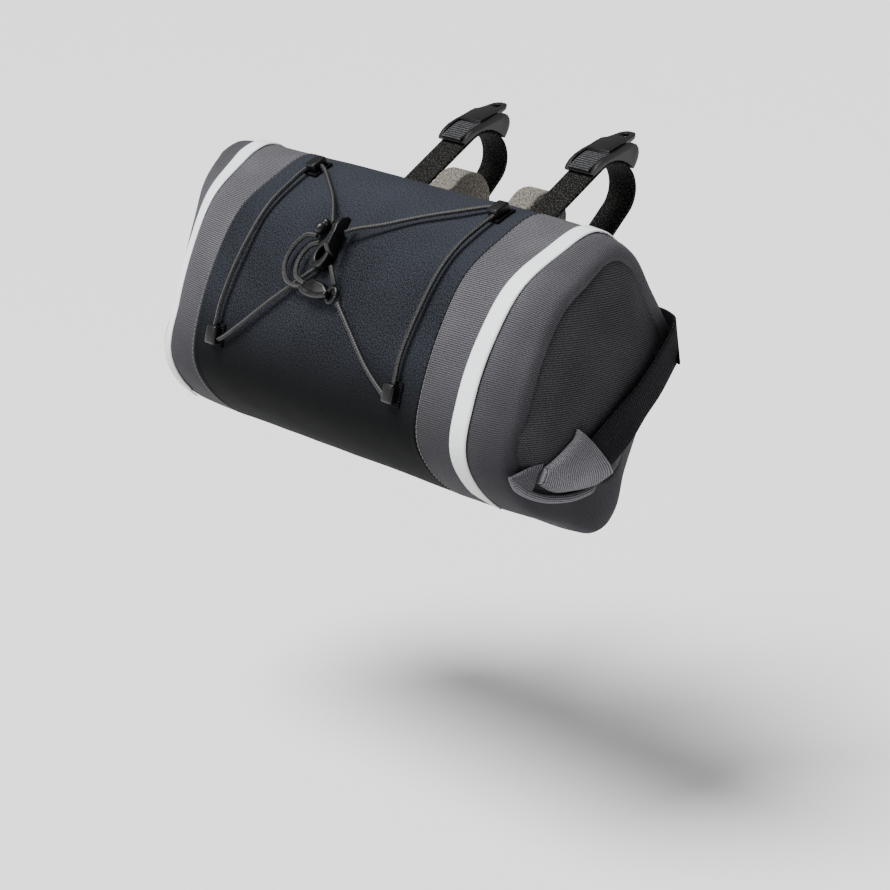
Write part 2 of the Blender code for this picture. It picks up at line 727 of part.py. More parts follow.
def buckle(side, x):
    """Make a cam buckle: a channel-shaped frame on the strap and a closed lever."""
    seat = BAR_DIAMETER / 2 + STRAP_THICKNESS + 2 * GAP
    base = [(p.y, p.z) for p in onto_bar(seat, 0.0086, 40, 9)]
    cheeks = base + [(0.0170, 0.0162), (0.0186, 0.0205), (0.0175, 0.0246), (0.0140, 0.0266), (0.0090, 0.0262),
                     (0.0020, 0.0240), (-0.0040, 0.0225), (-0.0095, 0.0205), (-0.0145, 0.0172), (-0.0172, 0.0136)]
    frame = as_mesh(plate("buckle_frame_" + side, cheeks, BUCKLE_WIDTH, "plastic", side_place(x)))
    floor = [(p.y, p.z) for p in onto_bar(seat + BUCKLE_FLOOR, 0.0140, 10, 12)]
    reach = 0.050
    channel = as_mesh(plate("channel_" + side, floor + [(reach, reach), (-reach, reach)],
                            BUCKLE_WIDTH - 2 * BUCKLE_CHEEK, "plastic", side_place(x)))
    cut(frame, channel)
    lever_outline = [(-0.0025, 0.0228), (0.0040, 0.0232), (0.0120, 0.0246), (0.0200, 0.0256), (0.0250, 0.0246),
                     (0.0268, 0.0258), (0.0255, 0.0280), (0.0210, 0.0290), (0.0140, 0.0286), (0.0070, 0.0272),
                     (0.0010, 0.0254)]
    lever = as_mesh(plate("buckle_lever_" + side, lever_outline,
                          BUCKLE_WIDTH - 2 * BUCKLE_CHEEK - 2 * GAP, "plastic", side_place(x)))
    shape = bmesh.new()
    bmesh.ops.create_cone(shape, cap_ends=True, segments=16, radius1=LEVER_HOLE / 2, radius2=LEVER_HOLE / 2, depth=0.02)
    hole = add_object("hole_" + side, mesh_from(shape, "hole_" + side), "plastic",
                      Matrix.Translation((x, 0.0190, 0.027)))
    cut(lever, hole)


def foam_spacer(side, x):
    """Make the foam block that keeps the bag's back off the bar."""
    top_face, top_out = around(SECTION, SPACER_RUNS[0])
    low_face, low_out = around(SECTION, SPACER_RUNS[1])
    front_gap = BAR_DIAMETER / 2 + GAP
    upper = top_face + top_out * 2 * GAP
    lower = low_face + low_out * 2 * GAP
    outline = [(upper.y, upper.z), (lower.y, lower.z), (-front_gap, -0.0150), (-front_gap, -0.0005), (-0.0260, 0.0010)]
    plate("foam_spacer_" + side, outline, SPACER_WIDTH, "foam", side_place(x))


def build():
    """Build every piece of the bag."""
    clear_scene()
    main_panel()
    for side in ("left", "right"):
        end_sleeve(side)
        reflective_strip(side)
        end_panel(side)
        closure_flap(side)
        closure_webbing(side)
        bar_strap(side, STRAP_PLACES[side])
        buckle(side, STRAP_PLACES[side])
        foam_spacer(side, SPACER_PLACES[side])
    cord_guides()
    elastic_cords()
    centre_hooks()


build()
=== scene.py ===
"""Looks of a bicycle handlebar bag: woven cloth, webbing, moulded buckles and elastic cord.

Everything is in metres in the part's own frame: X along the handlebar, -Y the
bag's front, +Z up, with the origin on the handlebar's axis. Pattern sizes are in
millimetres, because each woven piece carries a map of its cloth in millimetres.
"""

from __future__ import annotations

import logging
import math
from dataclasses import dataclass, field
from enum import Enum
from typing import Iterable, Sequence

import bmesh
import bpy
import numpy as np
from mathutils import Matrix, Vector, noise

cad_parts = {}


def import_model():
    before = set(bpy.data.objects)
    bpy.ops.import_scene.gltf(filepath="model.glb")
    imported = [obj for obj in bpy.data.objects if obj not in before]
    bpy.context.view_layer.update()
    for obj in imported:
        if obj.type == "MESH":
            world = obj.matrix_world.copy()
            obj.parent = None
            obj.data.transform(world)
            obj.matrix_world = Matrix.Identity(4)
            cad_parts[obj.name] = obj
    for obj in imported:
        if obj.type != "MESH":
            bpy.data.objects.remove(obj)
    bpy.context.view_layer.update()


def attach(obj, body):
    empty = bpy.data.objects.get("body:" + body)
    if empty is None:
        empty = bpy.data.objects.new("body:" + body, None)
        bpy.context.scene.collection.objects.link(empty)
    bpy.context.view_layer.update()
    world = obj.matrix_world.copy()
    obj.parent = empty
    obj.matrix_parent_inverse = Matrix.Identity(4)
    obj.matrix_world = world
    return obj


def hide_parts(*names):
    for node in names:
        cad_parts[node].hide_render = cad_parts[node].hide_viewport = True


Material = bpy.types.Material
Mesh = bpy.types.Mesh
Socket = bpy.types.NodeSocket

LOG = logging.getLogger("handlebar_bag")
BODY = "root"
CLOTH_MAP = "cloth_mm"
MM = 0.001
# Turns a flat outline upright: its X and Y become Y and Z, and it faces along X
ON_EDGE = Matrix(((0, 0, 1), (1, 0, 0), (0, 1, 0))).to_4x4()
# The clearance between pieces that lie on one another
GAP = 0.0003
# A length too small to see
HAIR = 1e-6
# Rounds past the end of any piece of cloth, for a finish that is the same all over
NOWHERE_MM = (900.0, 950.0)


class Side(Enum):
    """An end of the bag, with the sign that it has along X."""

    LEFT = -1
    RIGHT = 1

    @property
    def word(self) -> str:
        """Return the side's word in the names of pieces."""
        return self.name.lower()

    def pick(self, pair: Sequence) -> float | tuple:
        """Return this side's value of a pair that gives the left one first."""
        return pair[0] if self is Side.LEFT else pair[1]


# Colour and shader nodes


def linear(hex_code: str) -> tuple[float, float, float, float]:
    """Turn an sRGB hex colour into a linear one with full alpha.

    Args:
        hex_code: The colour as "#rrggbb".

    Returns:
        Linear red, green and blue, and an alpha of 1.
    """
    shares = [int(hex_code[i:i + 2], 16) / 255 for i in (1, 3, 5)]
    flat = [c / 12.92 if c <= 0.04045 else ((c + 0.055) / 1.055) ** 2.4 for c in shares]
    return (*flat, 1.0)


def add_node(tree: bpy.types.NodeTree, kind: str, settings: dict | None = None,
             links: dict | None = None) -> bpy.types.Node:
    """Add a node with its settings and links.

    Args:
        tree: The node tree that gets the node.
        kind: The node's Blender type.
        settings: Properties by name, or sockets by name or number, with their values.
        links: Input sockets by name or number, with the output sockets they take.

    Returns:
        The new node.
    """
    made = tree.nodes.new(kind)
    for key, value in (settings or {}).items():
        if isinstance(key, str) and hasattr(made, key):
            setattr(made, key, value)
        else:
            made.inputs[key].default_value = value
    for key, source in (links or {}).items():
        tree.links.new(source, made.inputs[key])
    return made


class Look:
    """What every finish shares: a shader to fill in, and the cloth map's patterns."""

    def begin(self, name: str, settings: dict) -> None:
        """Start a material with its shader's fixed settings.

        Args:
            name: The material's name.
            settings: Shader sockets by name, with values that are the same all over.
        """
        made = bpy.data.materials.new(name)
        made.use_nodes = True
        object.__setattr__(self, "made", made)
        object.__setattr__(self, "tree", made.node_tree)
        object.__setattr__(self, "shader", made.node_tree.nodes["Principled BSDF"])
        for key, value in settings.items():
            self.shader.inputs[key].default_value = value

    def cloth(self) -> tuple:
        """Return the cloth map's vector, along and across sockets, in millimetres."""
        place = add_node(self.tree, "ShaderNodeUVMap", {"uv_map": CLOTH_MAP}).outputs[0]
        split = add_node(self.tree, "ShaderNodeSeparateXYZ", links={0: place})
        return place, split.outputs[0], split.outputs[1]

    def stripes(self, source: Socket, pitch: float) -> Socket:
        """Return an even wave from 0 to 1 along a coordinate.

        Args:
            source: The coordinate, in millimetres.
            pitch: The length of one wave, in millimetres.

        Returns:
            The wave's socket.
        """
        turn = self.blend("MULTIPLY", source, math.tau / pitch)
        wave = add_node(self.tree, "ShaderNodeMath", {"operation": "SINE"}, {0: turn})
        half = add_node(self.tree, "ShaderNodeMath", {"operation": "MULTIPLY_ADD", 1: 0.5, 2: 0.5},
                        {0: wave.outputs[0]})
        return half.outputs[0]

    def grain(self, place: Socket, per_mm: float, detail: float,
              low: float = 0.0, high: float = 1.0) -> Socket:
        """Return noise spread between two values.

        Args:
            place: The coordinates, in millimetres.
            per_mm: How many grains there are in a millimetre.
            detail: How many finer layers the noise has.
            low: The value at the darkest grains.
            high: The value at the lightest grains.

        Returns:
            The noise's socket.
        """
        made = add_node(self.tree, "ShaderNodeTexNoise",
                        {"noise_dimensions": "2D", "Scale": per_mm, "Detail": detail}, {"Vector": place})
        spread = add_node(self.tree, "ShaderNodeMapRange",
                          {"From Min": 0.3, "From Max": 0.7, "To Min": low, "To Max": high},
                          {"Value": made.outputs[0]})
        return spread.outputs[0]

    def ramp(self, source: Socket, start: float, end: float, first: float, last: float
             ) -> Socket:
        """Return a value that changes smoothly between two places of a coordinate.

        Args:
            source: The coordinate.
            start: Where the change starts.
            end: Where the change ends.
            first: The value before it.
            last: The value after it.

        Returns:
            The value's socket.
        """
        made = add_node(self.tree, "ShaderNodeMapRange",
                        {"interpolation_type": "SMOOTHSTEP", "From Min": start, "From Max": end,
                         "To Min": first, "To Max": last}, {"Value": source})
        return made.outputs[0]

    def underside(self, across: Socket, front: tuple, back: tuple, low: float
                  ) -> Socket:
        """Return a value that is 1 round the bag's front and back, and lower under it.

        Args:
            across: The round of the section, in millimetres from the top edge down the front.
            front: The rounds between which the value sinks.
            back: The rounds between which it rises again.
            low: The value under the bag.

        Returns:
            The value's socket.
        """
        sinking = self.ramp(across, *front, 1.0, low)
        rising = self.ramp(across, *back, 0.0, 1.0 - low)
        return self.blend("ADD", sinking, rising)

    def blend(self, operation: str, first: Socket,
              second: Socket | float) -> Socket:
        """Join two values by an operation of Blender's Math node.

        Args:
            operation: The operation's name.
            first: The first value's socket.
            second: The second value's socket, or a fixed number.

        Returns:
            The result's socket.
        """
        if isinstance(second, float):
            made = add_node(self.tree, "ShaderNodeMath", {"operation": operation, 1: second}, {0: first})
        else:
            made = add_node(self.tree, "ShaderNodeMath", {"operation": operation}, {0: first, 1: second})
        return made.outputs[0]

    def tint(self, amount: Socket, dark: str, light: str) -> Socket:
        """Return a colour between two others.

        Args:
            amount: The light colour's share, from 0 to 1.
            dark: The hex colour at 0.
            light: The hex colour at 1.

        Returns:
            The colour's socket.
        """
        made = add_node(self.tree, "ShaderNodeMix",
                        {"data_type": "RGBA", 6: linear(dark), 7: linear(light)}, {0: amount})
        return made.outputs[2]

    def relief(self, height: Socket, depth_mm: float, strength: float) -> None:
        """Raise the surface by a height from 0 to 1.

        Args:
            height: The height's socket.
            depth_mm: How deep the relief is, in millimetres.
            strength: How strongly it shades.
        """
        made = add_node(self.tree, "ShaderNodeBump", {"Strength": strength, "Distance": depth_mm * MM},
                        {"Height": height})
        self.tree.links.new(made.outputs[0], self.shader.inputs["Normal"])

    def paint(self, colour: Socket) -> None:
        """Give the shader its base colour."""
        self.tree.links.new(colour, self.shader.inputs["Base Color"])


@dataclass(frozen=True)
class RibbedPolyester(Look):
    """Polyester woven with a rib and coated inside: each rib's crown catches light, its groove stays dark."""

    name: str = "grey_ribbed_polyester"
    groove: str = "#242327"
    crown: str = "#6e6d72"
    # The real rib is about 0.9 mm: at the picture's 1.8 pixels to a millimetre it needs this much to show
    rib_mm: float = 1.15
    thread_mm: float = 1.5
    # Rounds of the sleeve, in millimetres, between which its underside grows darker with painted shade, and
    # the rounds behind where that shade lifts again; and the places along it between which its drawn-in end
    # grows darker with painted shade, as the tapering cloth turns away from the light
    dirt_mm: tuple = (62.0, 160.0)
    shade_lifts_mm: tuple = (225.0, 300.0)
    worn_mm: tuple = (32.0, 56.0)
    # How much of its lightness the cloth keeps in the deepest painted shade under the bag and at the drawn-in
    # end
    underside_shade_kept: float = 0.20
    worn: float = 0.56
    # Columns: grains to a millimetre, finer layers, what the darkest and the lightest grains add
    speckle: tuple = (1.3, 2.0, -0.16, 0.30)
    patches: tuple = (0.035, 1.0, -0.06, 0.06)

    def material(self) -> Material:
        """Return the finish as a material."""
        self.begin(self.name, {"Roughness": 0.9, "Sheen Weight": 0.05, "Sheen Roughness": 0.4,
                               "Specular IOR Level": 0.12})
        place, along, across = self.cloth()
        rib = self.stripes(across, self.rib_mm)
        half = self.blend("MULTIPLY", across, math.pi / self.rib_mm * self.thread_mm / math.tau)
        dots = self.stripes(self.blend("ADD", along, half), self.thread_mm)
        woven = self.blend("MULTIPLY", rib, dots)
        speckle = self.grain(place, *self.speckle)
        broad = self.grain(place, *self.patches)
        height = self.blend("ADD", self.blend("MULTIPLY", rib, 0.55), self.blend("MULTIPLY", woven, 0.4))
        shade = self.blend("ADD", self.blend("ADD", height, speckle), broad)
        # Painted shade: darker under the bag, where the light from above does not reach
        shade = self.blend("MULTIPLY", shade, self.underside(across, self.dirt_mm, self.shade_lifts_mm, self.underside_shade_kept))
        # Painted shade: darker towards the drawn-in end, which turns away from the light
        shade = self.blend("MULTIPLY", shade, self.ramp(along, *self.worn_mm, 1.0, self.worn))
        self.paint(self.tint(shade, self.groove, self.crown))
        self.relief(height, 0.22, 0.7)
        return self.made


@dataclass(frozen=True)
class CoatedPolyester(Look):
    """Navy polyester in a fine plain weave with mixed yarns: dark cloth flecked with blue-grey."""

    name: str = "navy_coated_polyester"
    dark: str = "#08090a"
    light: str = "#33363d"
    weave_mm: float = 1.0
    # Rounds of the panel, in millimetres: a painted highlight along the top, in front and behind, where the
    # light falls, and painted shade below
    top_highlight_mm: tuple = (15.0, 75.0)
    top_highlight_behind_mm: tuple = (400.0, 448.0)
    dirt_mm: tuple = (95.0, 150.0)
    shade_lifts_mm: tuple = (220.0, 290.0)
    top_highlight: float = 0.33
    # Columns: grains to a millimetre, finer layers, what the darkest and the lightest grains add
    flecks: tuple = (1.15, 3.0, -0.12, 0.86)
    patches: tuple = (0.03, 1.0, -0.06, 0.06)

    def material(self) -> Material:
        """Return the finish as a material."""
        self.begin(self.name, {"Roughness": 0.84, "Sheen Weight": 0.025, "Sheen Roughness": 0.35,
                               "Specular IOR Level": 0.06})
        place, along, across = self.cloth()
        warp = self.stripes(along, self.weave_mm)
        weave = self.blend("MULTIPLY", warp, self.stripes(across, self.weave_mm))
        flecks = self.grain(place, *self.flecks)
        broad = self.grain(place, *self.patches)
        shade = self.blend("ADD", self.blend("ADD", self.blend("MULTIPLY", weave, 0.30), flecks), broad)
        # Painted highlight: lighter along the top edge in front, and along it behind
        shade = self.blend("ADD", shade, self.ramp(across, *self.top_highlight_mm, self.top_highlight, 0.0))
        shade = self.blend("ADD", shade, self.ramp(across, *self.top_highlight_behind_mm, 0.0, self.top_highlight))
        # Painted shade: dark under the bag, lighter again up the back
        shade = self.blend("MULTIPLY", shade, self.underside(across, self.dirt_mm, self.shade_lifts_mm, 0.0))
        self.paint(self.tint(shade, self.dark, self.light))
        self.relief(self.blend("ADD", weave, flecks), 0.12, 0.5)
        return self.made


@dataclass(frozen=True)
class GlassBeadTape(Look):
    """Reflective tape of fine glass beads on a film: a cool even white, with painted shade that darkens it to
    a warm grey underneath.
    """

    name: str = "silver_glass_bead_tape"
    dark: str = "#86837a"
    light: str = "#f8fdff"
    # Rounds of the sleeve, in millimetres, between which painted shade dulls it, and where the shade lifts
    # behind
    dirt_mm: tuple = (118.0, 176.0)
    shade_lifts_mm: tuple = (300.0, 330.0)
    underside_shade_kept: float = 0.30

    def material(self) -> Material:
        """Return the finish as a material."""
        self.begin(self.name, {"Roughness": 0.42, "Specular IOR Level": 0.6, "Coat Weight": 0.15})
        place, _, across = self.cloth()
        beads = self.grain(place, 1.1, 2.0, 0.86, 1.0)
        # Painted shade: the tape grows darker where it turns under the bag
        unshaded = self.underside(across, self.dirt_mm, self.shade_lifts_mm, self.underside_shade_kept)
        self.paint(self.tint(self.blend("MULTIPLY", beads, unshaded), self.dark, self.light))
        self.relief(beads, 0.25, 0.4)
        return self.made


@dataclass(frozen=True)
class NylonWebbing(Look):
    """Black nylon webbing, woven in ribs across its length: near black, with a thin light on each rib."""

    name: str = "black_nylon_webbing"
    dark: str = "#010102"
    light: str = "#29282e"
    rib_mm: float = 1.45
    thread_mm: float = 0.9

    def material(self) -> Material:
        """Return the finish as a material."""
        self.begin(self.name, {"Roughness": 0.78, "Specular IOR Level": 0.05})
        place, along, across = self.cloth()
        rib = self.stripes(along, self.rib_mm)
        threads = self.stripes(across, self.thread_mm)
        height = self.blend("ADD", rib, self.blend("MULTIPLY", threads, 0.25))
        shade = self.blend("MULTIPLY", height, self.grain(place, 0.9, 2.0, 0.25, 0.85))
        self.paint(self.tint(shade, self.dark, self.light))
        self.relief(height, 0.35, 0.9)
        return self.made


@dataclass(frozen=True)
class MouldedNylon(Look):
    """Injection-moulded black nylon: fine mould grain, with a soft gloss along the rounded edges."""

    name: str = "black_moulded_nylon"
    dark: str = "#030304"
    light: str = "#0b0b0d"
    # The smoothest spots' roughness, and how much rougher the dullest are
    gloss: float = 0.28
    wear: float = 0.16
    grain_mm: float = 0.35
    wear_per_metre: float = 140.0

    def material(self) -> Material:
        """Return the finish as a material."""
        self.begin(self.name, {"IOR": 1.53, "Specular IOR Level": 0.35})
        spot = add_node(self.tree, "ShaderNodeTexCoord").outputs["Object"]
        mould = add_node(self.tree, "ShaderNodeTexNoise",
                         {"Scale": 1 / (self.grain_mm * MM), "Detail": 2.0}, {"Vector": spot})
        wear = add_node(self.tree, "ShaderNodeTexNoise",
                        {"Scale": self.wear_per_metre, "Detail": 3.0}, {"Vector": spot})
        rough = add_node(self.tree, "ShaderNodeMapRange",
                         {"From Min": 0.3, "From Max": 0.7, "To Min": self.gloss,
                          "To Max": self.gloss + self.wear}, {"Value": wear.outputs[0]})
        self.tree.links.new(rough.outputs[0], self.shader.inputs["Roughness"])
        self.paint(self.tint(wear.outputs[0], self.dark, self.light))
        self.relief(mould.outputs[0], 0.03, 0.35)
        return self.made


@dataclass(frozen=True)
class GripRubber(Look):
    """Rubber-coated strap with a coarse grip: dark, with small pale nubs in uneven rows."""

    name: str = "black_grip_rubber"
    dark: str = "#060607"
    light: str = "#5a5750"
    nub_mm: float = 1.5

    def material(self) -> Material:
        """Return the finish as a material."""
        self.begin(self.name, {"Roughness": 0.75, "Specular IOR Level": 0.12})
        place = self.cloth()[0]
        nubs = add_node(self.tree, "ShaderNodeTexVoronoi",
                        {"voronoi_dimensions": "2D", "Scale": 1 / self.nub_mm, "Randomness": 0.75},
                        {"Vector": place})
        crown = add_node(self.tree, "ShaderNodeMapRange",
                         {"From Min": 0.12, "From Max": 0.42, "To Min": 1.0, "To Max": 0.0},
                         {"Value": nubs.outputs["Distance"]})
        uneven = self.grain(place, 0.8, 1.0, 0.05, 0.75)
        self.paint(self.tint(self.blend("MULTIPLY", crown.outputs[0], uneven), self.dark, self.light))
        self.relief(crown.outputs[0], 0.4, 0.9)
        return self.made


@dataclass(frozen=True)
class BraidedElastic(Look):
    """Elastic cord in a woven sleeve: dark grey with pale flecks that wind round it."""

    name: str = "grey_braided_elastic"
    dark: str = "#070708"
    light: str = "#515150"
    braid_mm: float = 1.6
    # Four pale yarns run along the cord, this far apart round it
    yarn_mm: float = 2.04

    def material(self) -> Material:
        """Return the finish as a material."""
        self.begin(self.name, {"Roughness": 0.5, "Specular IOR Level": 0.3})
        place, along, across = self.cloth()
        yarns = self.stripes(across, self.yarn_mm)
        one = self.stripes(self.blend("ADD", along, across), self.braid_mm)
        other = self.stripes(self.blend("SUBTRACT", along, across), self.braid_mm)
        braid = self.blend("MULTIPLY", one, other)
        fleck = self.blend("MULTIPLY", braid, self.grain(place, 0.7, 1.0, 0.05, 0.8))
        fleck = self.blend("ADD", fleck, self.blend("MULTIPLY", self.blend("POWER", yarns, 3.0), 0.6))
        self.paint(self.tint(fleck, self.dark, self.light))
        self.relief(braid, 0.2, 0.8)
        return self.made


@dataclass(frozen=True)
class ClosedCellFoam(Look):
    """Cut closed-cell foam: a warm grey with a mottled, open-pored skin."""

    name: str = "grey_closed_cell_foam"
    dark: str = "#46433e"
    light: str = "#87827a"

    def material(self) -> Material:
        """Return the finish as a material."""
        self.begin(self.name, {"Roughness": 0.92, "Specular IOR Level": 0.2})
        place = self.cloth()[0]
        pores = self.grain(place, 0.9, 4.0)
        self.paint(self.tint(pores, self.dark, self.light))
        self.relief(pores, 0.5, 0.7)
        return self.made


@dataclass(frozen=True)
class SewingThread(Look):
    """Spun polyester sewing thread: two plies twisted together, a tone of their own against the cloth."""

    name: str = "khaki_sewing_thread"
    dark: str = "#454442"
    light: str = "#787670"
    twist_mm: float = 0.8

    def material(self) -> Material:
        """Return the finish as a material."""
        self.begin(self.name, {"Roughness": 0.6})
        along = self.cloth()[1]
        twist = self.stripes(along, self.twist_mm)
        self.paint(self.tint(twist, self.dark, self.light))
        self.relief(twist, 0.1, 0.6)
        return self.made


@dataclass(frozen=True)
class StudioPaper(Look):
    """Matt paper of the studio's floor: plain and pale."""

    name: str = "pale_studio_paper"
    colour: str = "#fafafa"

    def material(self) -> Material:
        """Return the finish as a material."""
        self.begin(self.name, {"Roughness": 0.9, "Specular IOR Level": 0.1,
                               "Base Color": linear(self.colour)})
        return self.made


def made_of(kind: type, *values: str | float, **named: tuple) -> Material:
    """Return a field that holds a finish's material.

    Args:
        kind: The finish's class.
        values: Its first fields, from its name on.
        named: Other fields of it.

    Returns:
        The field, which makes the material when its owner is made.
    """
    return field(default_factory=lambda: kind(*values, **named).material())


@dataclass
class Finishes:
    """Each finish made once, by the part of the bag that wears it."""

    grey: Material = made_of(RibbedPolyester)
    # A darker copy of the grey cloth: painted shade on the end panels, which face away from the light
    folded: Material = made_of(
        RibbedPolyester, "grey_ribbed_polyester_nap_turned", "#161518", "#454448",
        dirt_mm=NOWHERE_MM, worn_mm=NOWHERE_MM)
    # A lighter copy of the grey cloth: painted light on the flap and the hem's lip, which catch the light
    flap: Material = made_of(
        RibbedPolyester, "grey_ribbed_polyester_pressed", "#2c2b2f", "#7b7a7f",
        dirt_mm=NOWHERE_MM, worn_mm=NOWHERE_MM)
    tucked: Material = made_of(
        RibbedPolyester, "grey_ribbed_polyester_tucked", "#1f1e22", "#605f64",
        dirt_mm=NOWHERE_MM, worn_mm=NOWHERE_MM)
    navy: Material = made_of(CoatedPolyester)
    tape: Material = made_of(GlassBeadTape)
    webbing: Material = made_of(NylonWebbing)
    tail: Material = made_of(
        NylonWebbing, "black_nylon_webbing_worn_pale", "#030303", "#616164", 1.7)
    plastic: Material = made_of(MouldedNylon)
    rubber: Material = made_of(GripRubber)
    elastic: Material = made_of(BraidedElastic)
    foam: Material = made_of(ClosedCellFoam)
    thread: Material = made_of(SewingThread)
    dark_thread: Material = made_of(SewingThread, "charcoal_sewing_thread", "#141416", "#3a3a3e")
    paper: Material = made_of(StudioPaper)


# Curves and meshes


def curve_through(points: Sequence[Vector], per_span: int, closed: bool = False) -> list[Vector]:
    """Return points on a smooth curve through the given ones.

    Args:
        points: The points that the curve passes through.
        per_span: How many points each span gets.
        closed: Whether the last point joins the first.

    Returns:
        The curve's points, with the last given one included where it is open.
    """
    count = len(points)

    def pick(i: int) -> Vector:
        """Return the point at a place in the list, held at the ends of an open one."""
        return points[i % count] if closed else points[min(max(i, 0), count - 1)]

    smooth = []
    for i in range(count if closed else count - 1):
        before, start, end, after = pick(i - 1), pick(i), pick(i + 1), pick(i + 2)
        for k in range(per_span):
            t = k / per_span
            smooth.append(0.5 * (2 * start + (end - before) * t
                                 + (2 * before - 5 * start + 4 * end - after) * t * t
                                 + (3 * start - before - 3 * end + after) * t ** 3))
    if not closed:
        smooth.append(points[-1].copy())
    return smooth


def smooth_value(rows: Sequence[Sequence[float]], at: float) -> list[float]:
    """Read a table at a value of its first column, on a smooth curve through its rows.

    Args:
        rows: The table, with its first column rising.
        at: The value of the first column.

    Returns:
        The other columns there.
    """
    last = len(rows) - 2
    i = next((k for k in range(last + 1) if at <= rows[k + 1][0]), last)
    start, end = rows[i], rows[i + 1]
    span = end[0] - start[0]
    t = (at - start[0]) / span
    before, after = rows[max(i - 1, 0)], rows[min(i + 2, len(rows) - 1)]
    values = []
    for a, b, c, d in zip(before[1:], start[1:], end[1:], after[1:]):
        slope_b = (c - a) / (end[0] - before[0]) * span
        slope_c = (d - b) / (after[0] - start[0]) * span
        values.append((2 * t ** 3 - 3 * t ** 2 + 1) * b + (t ** 3 - 2 * t ** 2 + t) * slope_b
                      + (-2 * t ** 3 + 3 * t ** 2) * c + (t ** 3 - t ** 2) * slope_c)
    return values


def oval(middle: Sequence[float], radii: Sequence[float], degrees: Iterable[float]
         ) -> list[tuple[float, float]]:
    """Return flat points on an oval.

    Args:
        middle: The oval's middle.
        radii: Its half length and half width.
        degrees: The angle of each point.

    Returns:
        The points.
    """
    turns = [math.radians(a) for a in degrees]
    return [(middle[0] + radii[0] * math.cos(a), middle[1] + radii[1] * math.sin(a)) for a in turns]


def mesh_of(name: str, points: Sequence, faces: Sequence, cloth: Sequence, crease_angle: float = 180.0
            ) -> Mesh:
    """Make a smooth mesh with its cloth map.

    Args:
        name: The mesh's name.
        points: The vertices.
        faces: Vertex numbers by face.
        cloth: One pair of millimetres for each corner of each face, in order.
        crease_angle: Edges sharper than this many degrees stay sharp.

    Returns:
        The mesh.
    """
    made = bpy.data.meshes.new(name)
    made.from_pydata([tuple(p) for p in points], [], faces)
    layer = made.uv_layers.new(name=CLOTH_MAP)
    layer.data.foreach_set("uv", np.asarray(cloth, np.float32).ravel())
    made.shade_smooth()
    if crease_angle < 180.0:
        made.set_sharp_from_angle(angle=math.radians(crease_angle))
    made.validate()
    return made


def grid_mesh(name: str, points: np.ndarray, cloth: np.ndarray, wraps: bool = False,
              crease_angle: float = 180.0) -> Mesh:
    """Make a sheet from rows of points, with its faces turned away from their middle.

    Args:
        name: The mesh's name.
        points: Rows, columns and coordinates. Where it wraps, the last column repeats the first.
        cloth: Rows, columns and the cloth map's millimetres.
        wraps: Whether the last column joins the first.
        crease_angle: Edges sharper than this many degrees stay sharp.

    Returns:
        The mesh.
    """
    rows, columns = points.shape[:2]
    wide = columns - 1 if wraps else columns
    flat = points[:, :wide].reshape(-1, 3)
    corners, faces = [], []
    middle = flat.mean(0)
    first, second = points[1:, :-1] - points[:-1, :-1], points[:-1, 1:] - points[:-1, :-1]
    lean = (np.cross(first, second) * (points[:-1, :-1] - middle)).sum()
    for r in range(rows - 1):
        for c in range(columns - 1):
            quad = [(r, c), (r + 1, c), (r + 1, c + 1), (r, c + 1)]
            if lean < 0:
                quad.reverse()
            faces.append([a * wide + b % wide for a, b in quad])
            corners.extend(cloth[a, b] for a, b in quad)
    return mesh_of(name, flat, faces, corners, crease_angle)


def tube_mesh(name: str, path: Sequence[Vector], radius: float | Sequence[float], sides: int = 14
              ) -> Mesh:
    """Make a round closed tube along a path.

    Args:
        name: The mesh's name.
        path: The points that the tube's middle follows.
        radius: The tube's radius, or one for each point.
        sides: How many sides it has.

    Returns:
        The mesh, mapped along its length and round it.
    """
    radii = [radius] * len(path) if isinstance(radius, float) else list(radius)
    out = (path[1] - path[0]).orthogonal().normalized()
    rows, maps, passed = [], [], 0.0
    for k, point in enumerate(path):
        run = (path[min(k + 1, len(path) - 1)] - path[max(k - 1, 0)]).normalized()
        out = (out - run * out.dot(run)).normalized()
        side = run.cross(out)
        passed += (point - path[k - 1]).length if k else 0.0
        turns = [math.tau * s / sides for s in range(sides + 1)]
        rows.append([point + (out * math.cos(a) + side * math.sin(a)) * radii[k] for a in turns])
        maps.append([(passed / MM, a * radii[k] / MM) for a in turns])
    # Each end is rounded by a smaller ring a little way out, and a point beyond it
    ends = []
    for k, inward in ((0, 1), (-1, -1)):
        run = (path[k + inward] - path[k]).normalized()
        point = path[k] - run * radii[k] * 0.35
        smaller = [path[k] + (p - path[k]) * 0.7 - run * radii[k] * 0.25 for p in rows[k]]
        ends.append((smaller, [point] * len(smaller)))
    rows = [ends[0][1], ends[0][0]] + rows + [ends[1][0], ends[1][1]]
    maps = [maps[0], maps[0]] + maps + [maps[-1], maps[-1]]
    made = grid_mesh(name, np.array([[tuple(p) for p in row] for row in rows]), np.array(maps), wraps=True)
    weld(made)
    return made


def weld(mesh: Mesh) -> None:
    """Join vertices that share a place, drop what that leaves flat and turn the faces outward."""
    shape = bmesh.new()
    shape.from_mesh(mesh)
    bmesh.ops.remove_doubles(shape, verts=shape.verts, dist=HAIR)
    bmesh.ops.recalc_face_normals(shape, faces=shape.faces)
    shape.to_mesh(mesh)
    shape.free()


def face_towards(mesh: Mesh, direction: Vector) -> None:
    """Turn a sheet's faces over where they look away from a direction."""
    if sum((f.normal * f.area for f in mesh.polygons), Vector()).dot(direction) < 0:
        mesh.flip_normals()


@dataclass(frozen=True)
class Station:
    """One place along a strap: its middle, the way it faces and the way across it."""

    point: Vector
    facing: Vector
    across: Vector


